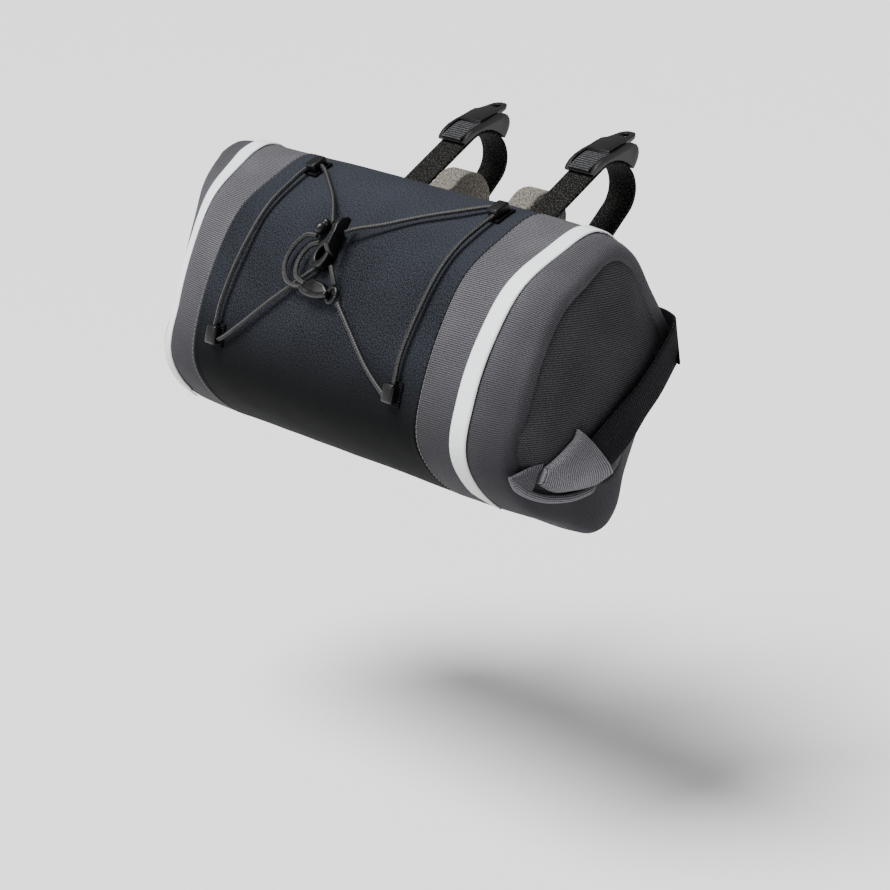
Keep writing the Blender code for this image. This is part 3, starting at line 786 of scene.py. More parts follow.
def close_ends(rows: list, maps: list) -> None:
    """Close a tube's two ends, each with a row gathered in its middle.

    Args:
        rows: The tube's rings of points, which gain a first and a last one.
        maps: The cloth map's millimetres for each ring, which gain the same.
    """
    first, last = [[tuple(np.array(ring).mean(0))] * len(ring) for ring in (rows[0], rows[-1])]
    rows[:] = [first, *rows, last]
    maps[:] = [[maps[0][0]] * len(first), *maps, [maps[-1][0]] * len(last)]


def band_mesh(name: str, stations: Sequence[Station], width: float, thickness: float) -> Mesh:
    """Make a strap with soft rounded edges along its stations.

    Args:
        name: The mesh's name.
        stations: The places that the strap's middle passes.
        width: The strap's width.
        thickness: The strap's thickness.

    Returns:
        The mesh, mapped along its length and across it.
    """
    half, depth = width / 2, thickness / 2
    edge = thickness * 0.45
    nick = edge * 0.3
    flat = [a * (half - edge) for a in (-1.0, -0.5, 0.0, 0.5, 1.0)]
    ring = [(a, -depth) for a in flat]
    ring += [(half - nick, -depth + nick), (half, 0.0), (half - nick, depth - nick)]
    ring += [(a, depth) for a in reversed(flat)]
    ring += [(-half + nick, depth - nick), (-half, 0.0), (-half + nick, -depth + nick)]
    ring.append(ring[0])
    rows, maps, passed = [], [], 0.0
    for k, station in enumerate(stations):
        passed += (station.point - stations[k - 1].point).length if k else 0.0
        rows.append([tuple(station.point + station.across * a + station.facing * b) for a, b in ring])
        maps.append([(passed / MM, a / MM) for a, b in ring])
    close_ends(rows, maps)
    made = grid_mesh(name, np.array(rows), np.array(maps), wraps=True, crease_angle=50.0)
    weld(made)
    return made


def stations_along(points: Sequence[Vector], facings: Sequence[Vector]) -> list[Station]:
    """Return a strap's stations along points, each square to the strap's own run."""
    made = []
    for k, (point, facing) in enumerate(zip(points, facings)):
        run = (points[min(k + 1, len(points) - 1)] - points[max(k - 1, 0)]).normalized()
        across = run.cross(facing).normalized()
        made.append(Station(point, across.cross(run), across))
    return made


def placed_mesh(name: str, shape: bmesh.types.BMesh, place: Matrix, crease_angle: float) -> Mesh:
    """Turn a shape into a mesh at its place, smooth up to its creases.

    Args:
        name: The mesh's name.
        shape: The shape, which is freed.
        place: The frame that it is put in.
        crease_angle: Edges sharper than this many degrees stay sharp.

    Returns:
        The mesh.
    """
    bmesh.ops.transform(shape, matrix=place, verts=shape.verts)
    made = bpy.data.meshes.new(name)
    shape.to_mesh(made)
    shape.free()
    made.shade_smooth()
    made.set_sharp_from_angle(angle=math.radians(crease_angle))
    return made


def profile_mesh(name: str, outline: Sequence[tuple[float, float]], width: float, place: Matrix,
                 bevel: float = 0.0) -> Mesh:
    """Extrude a flat outline of more than four points and round its edges.

    Args:
        name: The mesh's name.
        outline: The outline's points.
        width: How far it is extruded, half to each side of the place's plane.
        place: The frame that the outline lies in.
        bevel: The rounding of the edges, or 0 for sharp ones.

    Returns:
        The mesh.
    """
    shape = bmesh.new()
    face = shape.faces.new([shape.verts.new((a, b, -width / 2)) for a, b in outline])
    grown = bmesh.ops.extrude_face_region(shape, geom=[face])
    raised = [v for v in grown["geom"] if isinstance(v, bmesh.types.BMVert)]
    bmesh.ops.translate(shape, vec=Vector((0, 0, width)), verts=raised)
    bmesh.ops.recalc_face_normals(shape, faces=shape.faces)
    if bevel > 0:
        rims = [e for e in shape.edges if any(len(f.verts) > 4 for f in e.link_faces)]
        bmesh.ops.bevel(shape, geom=rims, offset=bevel, segments=3, profile=0.5, affect="EDGES",
                        clamp_overlap=True)
    return placed_mesh(name, shape, place, 38)


def rounded_block(name: str, size: Sequence[float], place: Matrix, rounding: float) -> Mesh:
    """Make a block with rounded edges that stands on a place's plane.

    Args:
        name: The mesh's name.
        size: Its length, its width and its height.
        place: The frame that it stands in.
        rounding: The edges' rounding.

    Returns:
        The mesh.
    """
    shape = bmesh.new()
    bmesh.ops.create_cube(shape, size=1.0)
    bmesh.ops.subdivide_edges(shape, edges=list(shape.edges), cuts=1, use_grid_fill=True)
    bmesh.ops.scale(shape, vec=Vector(size), verts=shape.verts)
    bmesh.ops.translate(shape, vec=Vector((0, 0, size[2] / 2)), verts=shape.verts)
    sharp = [e for e in shape.edges if e.calc_face_angle(0.0) > 0.8]
    bmesh.ops.bevel(shape, geom=sharp, offset=rounding, segments=4, profile=0.5, affect="EDGES",
                    clamp_overlap=True)
    return placed_mesh(name, shape, place, 50)


def carved(mesh: Mesh, cuts: Sequence[tuple[str, Mesh]], rounding: float
           ) -> Mesh:
    """Cut a mesh by others and round the edges that are left.

    Args:
        mesh: The mesh to cut.
        cuts: The operation, DIFFERENCE or INTERSECT, with each cutting mesh.
        rounding: The edges' rounding.

    Returns:
        The finished mesh, under the first one's name.
    """
    scene = bpy.context.scene.collection
    solid = bpy.data.objects.new("carving", mesh)
    tools = [bpy.data.objects.new("carving_tool", tool) for _, tool in cuts]
    for thing in (solid, *tools):
        scene.objects.link(thing)
    for (operation, _), tool in zip(cuts, tools):
        step = solid.modifiers.new("cut", "BOOLEAN")
        step.operation = operation
        step.object = tool
    edges = solid.modifiers.new("edges", "BEVEL")
    edges.width = rounding
    edges.segments = 3
    edges.limit_method = "ANGLE"
    edges.angle_limit = math.radians(32)
    bpy.context.view_layer.update()
    made = bpy.data.meshes.new_from_object(solid.evaluated_get(bpy.context.evaluated_depsgraph_get()))
    made.name = mesh.name
    for thing in (solid, *tools):
        bpy.data.objects.remove(thing, do_unlink=True)
    made.shade_smooth()
    made.set_sharp_from_angle(angle=math.radians(40))
    return made


def show(name: str, mesh: Mesh, finish: Material, slot: str, *nodes: str
         ) -> bpy.types.Object:
    """Add a piece to the bag.

    Args:
        name: The piece's name.
        mesh: Its mesh, in the part's frame.
        finish: Its material.
        slot: The record's material slot for the piece's finish; not used.
        nodes: The CAD nodes that it stands for.

    Returns:
        The piece.
    """
    piece = bpy.data.objects.new(name, mesh)
    bpy.context.scene.collection.objects.link(piece)
    mesh.materials.clear()
    mesh.materials.append(finish)
    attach(piece, BODY)
    if nodes:
        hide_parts(*nodes)
    LOG.info("%s: %d faces for %s", name, len(mesh.polygons), ", ".join(nodes) or "itself")
    return piece


def wall(piece: bpy.types.Object, thickness: float) -> None:
    """Give a sheet its thickness on the inner side."""
    made = piece.modifiers.new("wall", "SOLIDIFY")
    made.thickness = thickness
    made.offset = -1.0


# The bag's form


@dataclass
class BagForm:
    """The soft tube's shape, from the same few sizes and tables as the solids."""

    main_length: float = 0.190
    sleeve_length: float = 0.065
    depth: float = 0.140
    height: float = 0.166
    behind_bar: float = 0.030
    above_bar: float = 0.008
    columns: int = 396
    # Columns: back share of the depth, up share of the height, from the top edge round the front
    outline: tuple = (
        (0.600, 0.997), (0.430, 0.945), (0.250, 0.855), (0.125, 0.705), (0.035, 0.530), (0.000, 0.375),
        (0.060, 0.255), (0.190, 0.150), (0.380, 0.070), (0.555, 0.008), (0.655, 0.060), (0.700, 0.190),
        (0.800, 0.370), (0.925, 0.520), (0.945, 0.640), (0.830, 0.810), (0.730, 0.945),
    )
    # Columns: along share of the sleeve, then front, back, top and bottom shares of the half section, and how
    # much of its fullness the lower front corner keeps
    right_taper: tuple = (
        (0.00, 1.000, 1.000, 1.000, 1.000, 0.60), (0.38, 0.965, 1.000, 1.000, 1.000, 0.60),
        (0.54, 0.940, 0.990, 0.990, 1.000, 0.60), (0.70, 0.910, 0.980, 0.980, 0.990, 0.60),
        (0.84, 0.875, 0.955, 0.955, 0.965, 0.60), (0.94, 0.830, 0.880, 0.920, 0.860, 0.60),
        (1.00, 0.770, 0.790, 0.870, 0.610, 0.60),
    )
    left_taper: tuple = (
        (0.00, 1.000, 1.000, 1.000, 1.000, 1.00), (0.19, 0.965, 0.990, 1.000, 1.000, 1.00),
        (0.38, 0.915, 0.980, 1.000, 1.000, 0.95), (0.50, 0.850, 0.960, 1.000, 1.000, 0.90),
        (0.62, 0.760, 0.930, 1.000, 1.000, 0.75), (0.75, 0.650, 0.880, 1.000, 0.980, 0.60),
        (0.88, 0.500, 0.800, 0.990, 0.920, 0.50), (1.00, 0.350, 0.680, 0.950, 0.800, 0.45),
    )

    def __post_init__(self) -> None:
        """Work out the section's points and its length round."""
        self.centre_y = -self.behind_bar - self.depth / 2
        self.centre_z = self.above_bar - self.height / 2
        rows = [Vector((0.0, self.centre_y + (back - 0.5) * self.depth,
                        self.centre_z + (up - 0.5) * self.height)) for back, up in self.outline]
        fine = np.array([tuple(p) for p in curve_through(rows, 60, closed=True)])[:, 1:]
        ring = np.vstack([fine, fine[:1]])
        steps = np.linalg.norm(np.diff(ring, axis=0), axis=1)
        passed = np.concatenate([[0.0], np.cumsum(steps)])
        self.girth = float(passed[-1])
        runs = np.arange(self.columns) * self.girth / self.columns
        self.section = np.stack([np.interp(runs, passed, ring[:, k]) for k in (0, 1)], axis=1)
        self.runs = np.append(runs, self.girth)
        # How far from the bag's middle a sleeve starts and ends
        self.seam = self.main_length / 2 + GAP
        self.end = self.seam + self.sleeve_length

    def taper(self, side: Side) -> tuple:
        """Return the side's taper table."""
        return side.pick((self.left_taper, self.right_taper))

    def drawn_in(self, side: Side, share: float) -> np.ndarray:
        """Return the section drawn in at a share of the sleeve's length, as back and up places."""
        front, back, top, bottom, fullness = smooth_value(self.taper(side), min(max(share, 0.0), 1.0))
        across = (self.section[:, 0] - self.centre_y) / (self.depth / 2)
        up = (self.section[:, 1] - self.centre_z) / (self.height / 2)
        corner = np.where((across < 0) & (up < 0), fullness * 2 * across * up, 0.0)
        share_y = np.where(across < 0, front, back)
        share_z = np.where(up > 0, top, bottom)
        share_y = share_y + (1 - share_y) * corner
        share_z = share_z + (1 - share_z) * corner
        return np.stack([self.centre_y + across * share_y * self.depth / 2,
                         self.centre_z + up * share_z * self.height / 2], axis=1)

    def ring(self, x: float) -> np.ndarray:
        """Return the outline at a place along the bar, its last point the first again."""
        if abs(x) <= self.seam:
            flat = self.section
        else:
            side = Side.RIGHT if x > 0 else Side.LEFT
            flat = self.drawn_in(side, (abs(x) - self.seam) / self.sleeve_length)
        closed = np.vstack([flat, flat[:1]])
        return np.column_stack([np.full(len(closed), x), closed])

    def facing(self, ring: np.ndarray) -> np.ndarray:
        """Return the outward direction at each point of a ring, square to the bar."""
        open_ring = ring[:-1, 1:]
        along = np.roll(open_ring, -1, axis=0) - np.roll(open_ring, 1, axis=0)
        along /= np.linalg.norm(along, axis=1)[:, None]
        out = np.stack([along[:, 1], -along[:, 0]], axis=1)
        away = open_ring[0] - np.array([self.centre_y, self.centre_z])
        if out[0] @ away < 0:
            out = -out
        out = np.vstack([out, out[:1]])
        return np.column_stack([np.zeros(len(out)), out])

    def spot(self, x: float, run: float, lift: float = 0.0) -> tuple[Vector, Vector]:
        """Return a place over the bag and the outward direction there.

        Args:
            x: The place along the bar.
            run: The distance round the section from the top edge, down the front.
            lift: The height over the cloth.

        Returns:
            The place and the outward direction.
        """
        ring = self.ring(x)
        out = self.facing(ring)
        at = (run / self.girth) % 1.0 * self.columns
        i = int(at)
        t = at - i
        point = ring[i] * (1 - t) + ring[i + 1] * t
        facing = out[i] * (1 - t) + out[i + 1] * t
        facing /= np.linalg.norm(facing)
        return Vector(point + facing * lift), Vector(facing)

    def place(self, x: float, run: float, lift: float = 0.0) -> Matrix:
        """Return a frame on the bag: X along the bar, Y up the front, Z outward."""
        point, out = self.spot(x, run, lift)
        along = Vector((1.0, 0.0, 0.0))
        turn = Matrix((along, out.cross(along), out)).transposed().to_4x4()
        return Matrix.Translation(point) @ turn


@dataclass(frozen=True)
class Sewing:
    """How a seam is sewn: one stitch's length, the cloth between two stitches and the thread's radius."""

    length: float
    gap: float
    radius: float


SEAM_SEWING = Sewing(0.0021, 0.0006, 0.00032)
BOX_SEWING = Sewing(0.0024, 0.0009, 0.00036)
# How far a thread's middle stands over the strap that it is sewn through
SEWN_LIFT = 0.0001


def stitches(name: str, path: Sequence[Vector], facings: Sequence[Vector], sewing: Sewing) -> Mesh:
    """Make a row of stitches along a path.

    Args:
        name: The mesh's name.
        path: The points that the stitching follows.
        facings: The outward direction at each point.
        sewing: The stitches' sizes.

    Returns:
        One mesh of all the stitches.
    """
    spots = np.array([tuple(p) for p in path])
    outs = np.array([tuple(f) for f in facings])
    passed = np.concatenate([[0.0], np.cumsum(np.linalg.norm(np.diff(spots, axis=0), axis=1))])
    points, faces, maps = [], [], []
    sides = 6
    # Columns: share of the stitch's length, share of the thread's radius
    rings = ((0.0, 0.25), (0.2, 0.9), (0.5, 1.0), (0.8, 0.9), (1.0, 0.25))
    last = len(rings) - 1
    map_step = 0.4
    ahead = 0.0004

    def read(table: np.ndarray, at: float) -> Vector:
        """Return the table's row at a distance along the path."""
        return Vector([float(np.interp(at, passed, table[:, c])) for c in range(3)])

    for start in np.arange(sewing.gap, passed[-1] - sewing.length, sewing.length + sewing.gap):
        first = len(points)
        for share, swell in rings:
            at = start + share * sewing.length
            middle = read(spots, at)
            out = read(outs, at).normalized()
            side = (read(spots, at + ahead) - middle).normalized().cross(out)
            radius = sewing.radius * swell
            dip = (swell - 1.0) * sewing.radius
            for s in range(sides):
                a = math.tau * s / sides
                points.append(middle + out * (dip + math.cos(a) * radius) + side * math.sin(a) * radius)
        for k in range(last):
            here, there = first + k * sides, first + (k + 1) * sides
            u, v = k * map_step, (k + 1) * map_step
            for s in range(sides):
                n = (s + 1) % sides
                faces.append([here + s, here + n, there + n, there + s])
                maps.extend([(u, s), (u, n), (v, n), (v, s)])
        for k in (0, last):
            faces.append([first + k * sides + s for s in range(sides)])
            maps.extend([(0.0, float(s)) for s in range(sides)])
    made = mesh_of(name, points, faces, maps)
    weld(made)
    return made


def sewn_end(name: str, stations: Sequence[Station], width: float, lift: float) -> Mesh:
    """Sew a box of stitches with one diagonal over a strap's end.

    Args:
        name: The mesh's name.
        stations: The strap's stations, from its end as far as the box reaches.
        width: The strap's width.
        lift: The height of the thread over the strap's middle, below nought for its other face.

    Returns:
        The mesh.
    """
    margin = 0.0024
    inset = width / 2 - margin
    last = len(stations) - 1
    slopes = ([-1.0] * (last + 1), [1.0] * (last + 1), [2 * k / last - 1 for k in range(last + 1)])
    near, far, slant = [[(s.point + s.across * inset * share + s.facing * lift,
                          s.facing * math.copysign(1.0, lift)) for s, share in zip(stations, slope)]
                        for slope in slopes]
    course = near + far[::-1] + near[:1] + slant[1:]
    return stitches(name, [point for point, _ in course], [facing for _, facing in course], BOX_SEWING)


# Sub-assemblies


@dataclass
class SoftTube:
    """The navy middle and the two grey sleeves, each rolled over at its end."""

    form: BagForm
    finishes: Finishes
    cloth: float = 0.0016
    hem: float = 0.0040
    hem_rise: float = 0.0002
    swell: float = 0.0007
    # Columns: waves to a metre along the bar and across it, and the share of the swell
    swells: tuple = ((14, 22, 1.0), (46, 60, 0.35))
    # Share of the sleeve's length where its rolled rim starts, and how far round it rolls, in degrees
    roll_from: float = 0.88
    roll_turn: float = 205.0
    roll_approach: int = 6
    roll_steps: int = 20
    # Columns: run round the section, the rim's rolled radius: full in front, pressed flat along the bottom
    roll_radius: tuple = ((0.000, 0.0042), (0.030, 0.0056), (0.090, 0.0062), (0.125, 0.0055),
                          (0.152, 0.0030), (0.200, 0.0026), (0.270, 0.0030), (0.350, 0.0040),
                          (0.452, 0.0042))
    # Rolled radii: from the second down to the first, the rim takes up more of the sleeve's last drawing in
    tight_roll: tuple = (0.0030, 0.0056)

    def undulate(self, points: np.ndarray, out: np.ndarray, fade: np.ndarray) -> np.ndarray:
        """Move points in and out a little, as filled cloth does.

        Args:
            points: The points, in rows and columns.
            out: The outward direction at each point.
            fade: How much of the movement each row keeps.

        Returns:
            The moved points.
        """
        rise = np.zeros(points.shape[:2])
        for r in range(points.shape[0]):
            for c in range(points.shape[1] - 1):
                x, y, z = points[r, c]
                waves = [share * noise.noise(Vector((x * along + 7 * k, y * across, z * across)))
                         for k, (along, across, share) in enumerate(self.swells)]
                rise[r, c] = sum(waves) * self.swell * fade[r]
            rise[r, -1] = rise[r, 0]
        return points + out * rise[:, :, None]

    def main_panel(self) -> None:
        """Make the navy middle with a raised hem along each seam."""
        half = self.form.main_length / 2
        # Rows set close together where the hem steps up and down
        edges = [0.0, 0.0006, 0.0014, self.hem - 0.0008, self.hem, self.hem + 0.0008]
        inner = np.linspace(-half + self.hem + 0.003, half - self.hem - 0.003, 70)
        places = np.concatenate([[-half + e for e in edges], inner, [half - e for e in reversed(edges)]])
        rings = np.array([self.form.ring(x) for x in places])
        outs = np.array([self.form.facing(ring) for ring in rings])
        from_edge = half - np.abs(places)
        rise = np.where(from_edge < self.hem - 0.0004, self.hem_rise, 0.0)
        rise = np.where(from_edge < 0.0004, -self.hem_rise, rise)
        rings = rings + outs * rise[:, None, None]
        rings = self.undulate(rings, outs, np.clip((from_edge - 0.004) / 0.02, 0, 1))
        maps = np.stack(np.broadcast_arrays(places[:, None] / MM, self.form.runs[None] / MM), axis=-1)
        mesh = grid_mesh("main_panel_cloth", rings, maps, wraps=True)
        wall(show("main_panel_cloth", mesh, self.finishes.navy, "navy_fabric", "main_panel"), self.cloth)

    def sleeve(self, side: Side) -> None:
        """Make a grey sleeve that draws in and rolls over at its end."""
        form = self.form
        shares = np.concatenate([[-0.012, 0.004, 0.012], np.linspace(0.03, self.roll_from, 44)])
        rings = [form.ring(side.value * (form.seam + max(share, 0.0) * form.sleeve_length))
                 for share in shares]
        for share, ring in zip(shares, rings):
            ring[:, 0] = side.value * (form.seam + share * form.sleeve_length)
        outs = [form.facing(ring) for ring in rings]
        tucked_under = 0.0006
        rings[0] = rings[0] - outs[0] * tucked_under
        radius = np.interp(form.runs, *np.array(self.roll_radius).T)
        self.approach(side, rings, outs, radius)
        self.roll(side, rings, outs, radius)
        lengths = [np.zeros(len(rings[0]))]
        for before, ring in zip(rings, rings[1:]):
            lengths.append(lengths[-1] + np.linalg.norm(ring - before, axis=1))
        rings, outs = np.array(rings), np.array(outs)
        place = np.arange(len(rings)) / len(rings)
        rings = self.undulate(rings, outs, np.clip(place * 8, 0, 1))
        maps = np.stack(np.broadcast_arrays(np.array(lengths) / MM, form.runs[None] / MM), axis=-1)
        name = "end_sleeve_cloth_" + side.word
        mesh = grid_mesh(name, rings, maps, wraps=True)
        piece = show(name, mesh, self.finishes.grey, "grey_fabric", "end_sleeve_" + side.word)
        wall(piece, self.cloth)

    def approach(self, side: Side, rings: list, outs: list, radius: np.ndarray) -> None:
        """Add the rings that lead from the sleeve to the start of its rolled rim.

        Args:
            side: The bag's end.
            rings: The sleeve's rings so far, which gain the new ones.
            outs: The outward direction at each point of the rings, which gain theirs.
            radius: The rim's rolled radius at each point of a ring.
        """
        form = self.form
        full, none = self.tight_roll
        ends = 1.0 - radius / form.sleeve_length
        fine = np.linspace(self.roll_from, 1.0, 13)
        stack = np.array([form.ring(side.value * (form.seam + share * form.sleeve_length))
                          for share in fine])
        drawn = ends + (1.0 - ends) * np.clip((none - radius) / (none - full), 0.0, 1.0)
        for step in np.linspace(1 / self.roll_approach, 1.0, self.roll_approach):
            at = self.roll_from + (drawn - self.roll_from) * step
            ring = np.array([[np.interp(a, fine, stack[:, c, k]) for k in range(3)]
                             for c, a in enumerate(at)])
            share = self.roll_from + (ends - self.roll_from) * step
            ring[:, 0] = side.value * (form.seam + share * form.sleeve_length)
            rings.append(ring)
            outs.append(form.facing(ring))

    def roll(self, side: Side, rings: list, outs: list, radius: np.ndarray) -> None:
        """Add the rings that roll the rim over into the bag's end.

        Args:
            side: The bag's end.
            rings: The sleeve's rings so far, which gain the new ones.
            outs: The outward direction at each point of the rings, which gain theirs.
            radius: The rim's rolled radius at each point of a ring.
        """
        last, before, out = rings[-1], rings[-3], outs[-1]
        inward = -((last - before) * out).sum(1)
        lean = np.arctan2(inward, np.abs(last[:, 0] - before[:, 0]))
        along = np.array([side.value, 0.0, 0.0])
        for k in range(1, self.roll_steps + 1):
            angle = lean + (math.radians(self.roll_turn) - lean) * k / self.roll_steps
            forth = (np.sin(angle) - np.sin(lean))[:, None] * along
            inside = (np.cos(angle) - np.cos(lean))[:, None] * out
            rings.append(last + radius[:, None] * (forth + inside))
            outs.append(out)

    def seam_stitching(self, side: Side) -> None:
        """Sew the sleeve to the middle with a row of pale stitches."""
        past_seam, lift = 0.0009, 0.0001
        ring = self.form.ring(side.value * (self.form.main_length / 2 + past_seam))
        out = self.form.facing(ring)
        path = [Vector(p + o * lift) for p, o in zip(ring, out)]
        name = "seam_stitching_" + side.word
        mesh = stitches(name, path, [Vector(o) for o in out], SEAM_SEWING)
        show(name, mesh, self.finishes.thread, "grey_fabric")

    def build(self) -> None:
        """Build the middle, both sleeves and their seams."""
        self.main_panel()
        for side in Side:
            self.sleeve(side)
            self.seam_stitching(side)


@dataclass
class Strips:
    """The pale reflective strip round each sleeve, with a slanted tip below."""

    form: BagForm
    finishes: Finishes
    width: float = 0.011
    thickness: float = 0.0007
    # Columns: run round the sleeve, distance from the seam
    course: tuple = ((-0.060, 0.0330), (0.010, 0.0330), (0.040, 0.0305), (0.070, 0.0280),
                     (0.110, 0.0255), (0.205, 0.0250))
    # Rounds of the sleeve where it starts and ends, its tip's length, and the share of
    # its width that the tip slants over
    start: float = -0.060
    end: float = 0.191
    tip: float = 0.015
    slant: float = 0.97

    def strip(self, side: Side) -> None:
        """Lay one strip on its sleeve."""
        rows, maps = [], []
        for run in np.linspace(self.start, self.end, 240):
            from_seam = smooth_value(self.course, run)[0]
            slant = self.slant * max(0.0, 1.0 - (self.end - run) / self.tip)
            inner, outer = from_seam + self.width * slant, from_seam + self.width
            row, cloth = [], []
            for t in np.linspace(0, 1, 9):
                along = inner + (outer - inner) * t
                rise = self.thickness + GAP * (2 if 0 < t < 1 else 0.4)
                place = self.form.spot(side.value * (self.form.seam + along), float(run), rise)[0]
                row.append(tuple(place))
                cloth.append((along / MM, run / MM))
            rows.append(row)
            maps.append(cloth)
        name = "reflective_strip_film_" + side.word
        mesh = grid_mesh(name, np.array(rows), np.array(maps))
        wall(show(name, mesh, self.finishes.tape, "reflective_tape", "reflective_strip_" + side.word),
             self.thickness)

    def build(self) -> None:
        """Lay both strips."""
        for side in Side:
            self.strip(side)


@dataclass
class EndClosure:
    """The folded end inside a sleeve's rolled rim, its flap and the strap that pulls it back."""

    form: BagForm
    finishes: Finishes
    side: Side
    cloth: float = 0.0016
    flap_thickness: float = 0.005
    flap_lift: float = 0.0011
    webbing_width: float = 0.025
    webbing_thickness: float = 0.0016
    webbing_lift: float = 0.0022
    # Left, right: the round of the section where the strap goes over the rim
    webbing_runs: tuple = (-0.076, -0.083)
    # Columns: reach as a share of the rim, rise out of the rim as a share of the sleeve's length
    dome: tuple = ((0.00, 0.112), (0.20, 0.110), (0.45, 0.096), (0.70, 0.058), (0.84, 0.006), (0.90, -0.024),
                   (0.95, -0.050), (0.99, -0.070))
    # A pad of folded cloth: how thick its edges are against its middle, and how squarely it rises from them
    pad_edge: float = 0.35
    pad_square: float = 3.2
    pad_round: float = 0.55
    # Columns: upper edge's back and up, lower edge's back and up, as shares of the rim from its centre
    flap_rows: tuple = ((-0.80, -0.56, -0.85, -0.71), (-0.705, -0.484, -0.65, -0.85),
                        (-0.575, -0.375, -0.37, -0.90), (-0.48, -0.287, -0.09, -0.91),
                        (-0.445, -0.198, 0.127, -0.84))
    # The share of the rim beyond which folded cloth no longer follows the end panel down into it
    lip_reach: float = 0.86
    # Columns: back and up, for the pressed hem that shows as a light roll below the flap
    lip_course: tuple = ((-1.191, -0.575), (-1.087, -0.706), (-0.957, -0.803), (-0.760, -0.900),
                         (-0.562, -0.956), (-0.362, -0.984), (-0.161, -0.969), (-0.054, -0.942))
    lip_radius: float = 0.0023
    # Columns as the flap's, for the cloth tucked flat into the front lower corner
    tuck_rows: tuple = ((-1.185, -0.575, -1.187, -0.585), (-1.080, -0.555, -1.100, -0.670),
                        (-0.930, -0.530, -1.020, -0.755), (-0.800, -0.505, -0.940, -0.815))
    tuck_thickness: float = 0.0022
    tuck_lift: float = 0.0002
    # Shares of the way from the flap to the rim
    webbing_shares: tuple = (0.0, 0.11, 0.30, 0.50, 0.72)
    # Columns: along share of the sleeve, how far the strap faces the bag's end there
    webbing_turn: tuple = ((0.99, 1.2), (0.94, 0.85), (0.88, 0.6), (0.75, 0.4), (0.62, 0.3), (0.50, 0.2),
                           (0.34, 0.1))

    def __post_init__(self) -> None:
        """Find the rim that the closure sits in."""
        self.sign = self.side.value
        self.rim_x = self.sign * self.form.end
        self.rim = self.form.ring(self.rim_x - self.sign * HAIR)[:, 1:]
        self.shares = self.form.taper(self.side)[-1][1:]

    def reach(self, y: float, z: float) -> float:
        """Return how far a spot lies from the end's centre, as a share of the rim's distance."""
        aim = np.array([y - self.form.centre_y, z - self.form.centre_z])
        distance = np.linalg.norm(aim)
        if distance < HAIR:
            return 0.0
        away = self.rim - np.array([self.form.centre_y, self.form.centre_z])
        angles = np.arctan2(away[:, 1], away[:, 0])
        turn = (angles - math.atan2(aim[1], aim[0]) + math.pi) % math.tau - math.pi
        near = np.argsort(np.abs(turn))[:2]
        return float(distance / np.linalg.norm(away[near], axis=1).mean())

    def rise(self, reach: float) -> float:
        """Return how far the end panel stands out of the rim, in metres along the bar."""
        return smooth_value(self.dome, min(max(reach, 0.0), self.dome[-1][0]))[0] * self.form.sleeve_length

    def over(self, back: float, up: float, lift: float) -> Vector:
        """Return a place over the end panel or its lip, at shares of the rim from its centre."""
        front, rear, top, bottom, _ = self.shares
        y = self.form.centre_y + back * (front if back < 0 else rear) * self.form.depth / 2
        z = self.form.centre_z + up * (top if up > 0 else bottom) * self.form.height / 2
        return self.at(y, z, lift, self.lip_reach)

    def at(self, y: float, z: float, lift: float, most_reach: float = 1.0) -> Vector:
        """Return a place over the end panel, by its place across the bag.

        Args:
            y: The place across the bag, front to back.
            z: The height.
            lift: The height over the panel's cloth.
            most_reach: The reach beyond which the place no longer follows the panel down to the rim.

        Returns:
            The place.
        """
        out = self.rise(min(self.reach(y, z), most_reach)) + lift
        return Vector((self.rim_x + self.sign * out, y, z))

    def panel(self) -> None:
        """Make the domed panel that closes the sleeve inside its rim."""
        reaches = np.concatenate([np.linspace(0.985, 0.80, 14), np.linspace(0.78, 0.05, 40)])
        centre = np.array([self.form.centre_y, self.form.centre_z])
        rows, maps = [], []
        for reach in reaches:
            flat = centre + (self.rim - centre) * reach
            row = [(self.rim_x + self.sign * self.rise(reach), y, z) for y, z in flat]
            rows.append(row)
            maps.append([(y / MM, z / MM) for y, z in flat])
        rows.append([(self.rim_x + self.sign * self.rise(0.0), *centre)] * len(self.rim))
        maps.append([tuple(centre / MM)] * len(self.rim))
        name = "end_panel_cloth_" + self.side.word
        mesh = grid_mesh(name, np.array(rows), np.array(maps), wraps=True)
        weld(mesh)
        face_towards(mesh, Vector((self.sign, 0.0, 0.0)))
        # The end panel wears the darker copy of the cloth, which paints its shade
        piece = show(name, mesh, self.finishes.folded, "grey_fabric", "end_panel_" + self.side.word)
        wall(piece, self.cloth)

    def fold(self, name: str, edges: Sequence[Sequence[float]], lift: float, thickness: float) -> Mesh:
        """Make a soft pad of folded cloth between two edges that lie over the end panel.

        Args:
            name: The mesh's name.
            edges: Rows of the upper edge's back and up and the lower edge's, as shares of the rim.
            lift: The height of its underside over the panel.
            thickness: Its thickness where it is fullest.

        Returns:
            The mesh.
        """
        upper = curve_through([Vector((*row[:2], 0.0)) for row in edges], 10)
        lower = curve_through([Vector((*row[2:], 0.0)) for row in edges], 10)
        across, blunt_rows = 14, 3
        rows, maps, passed, before = [], [], 0.0, None
        for k, (top, low) in enumerate(zip(upper, lower)):
            first, second = self.over(top.x, top.y, 0.0), self.over(low.x, low.y, 0.0)
            middle = (first + second) / 2
            passed += (middle - before).length if k else 0.0
            before = middle
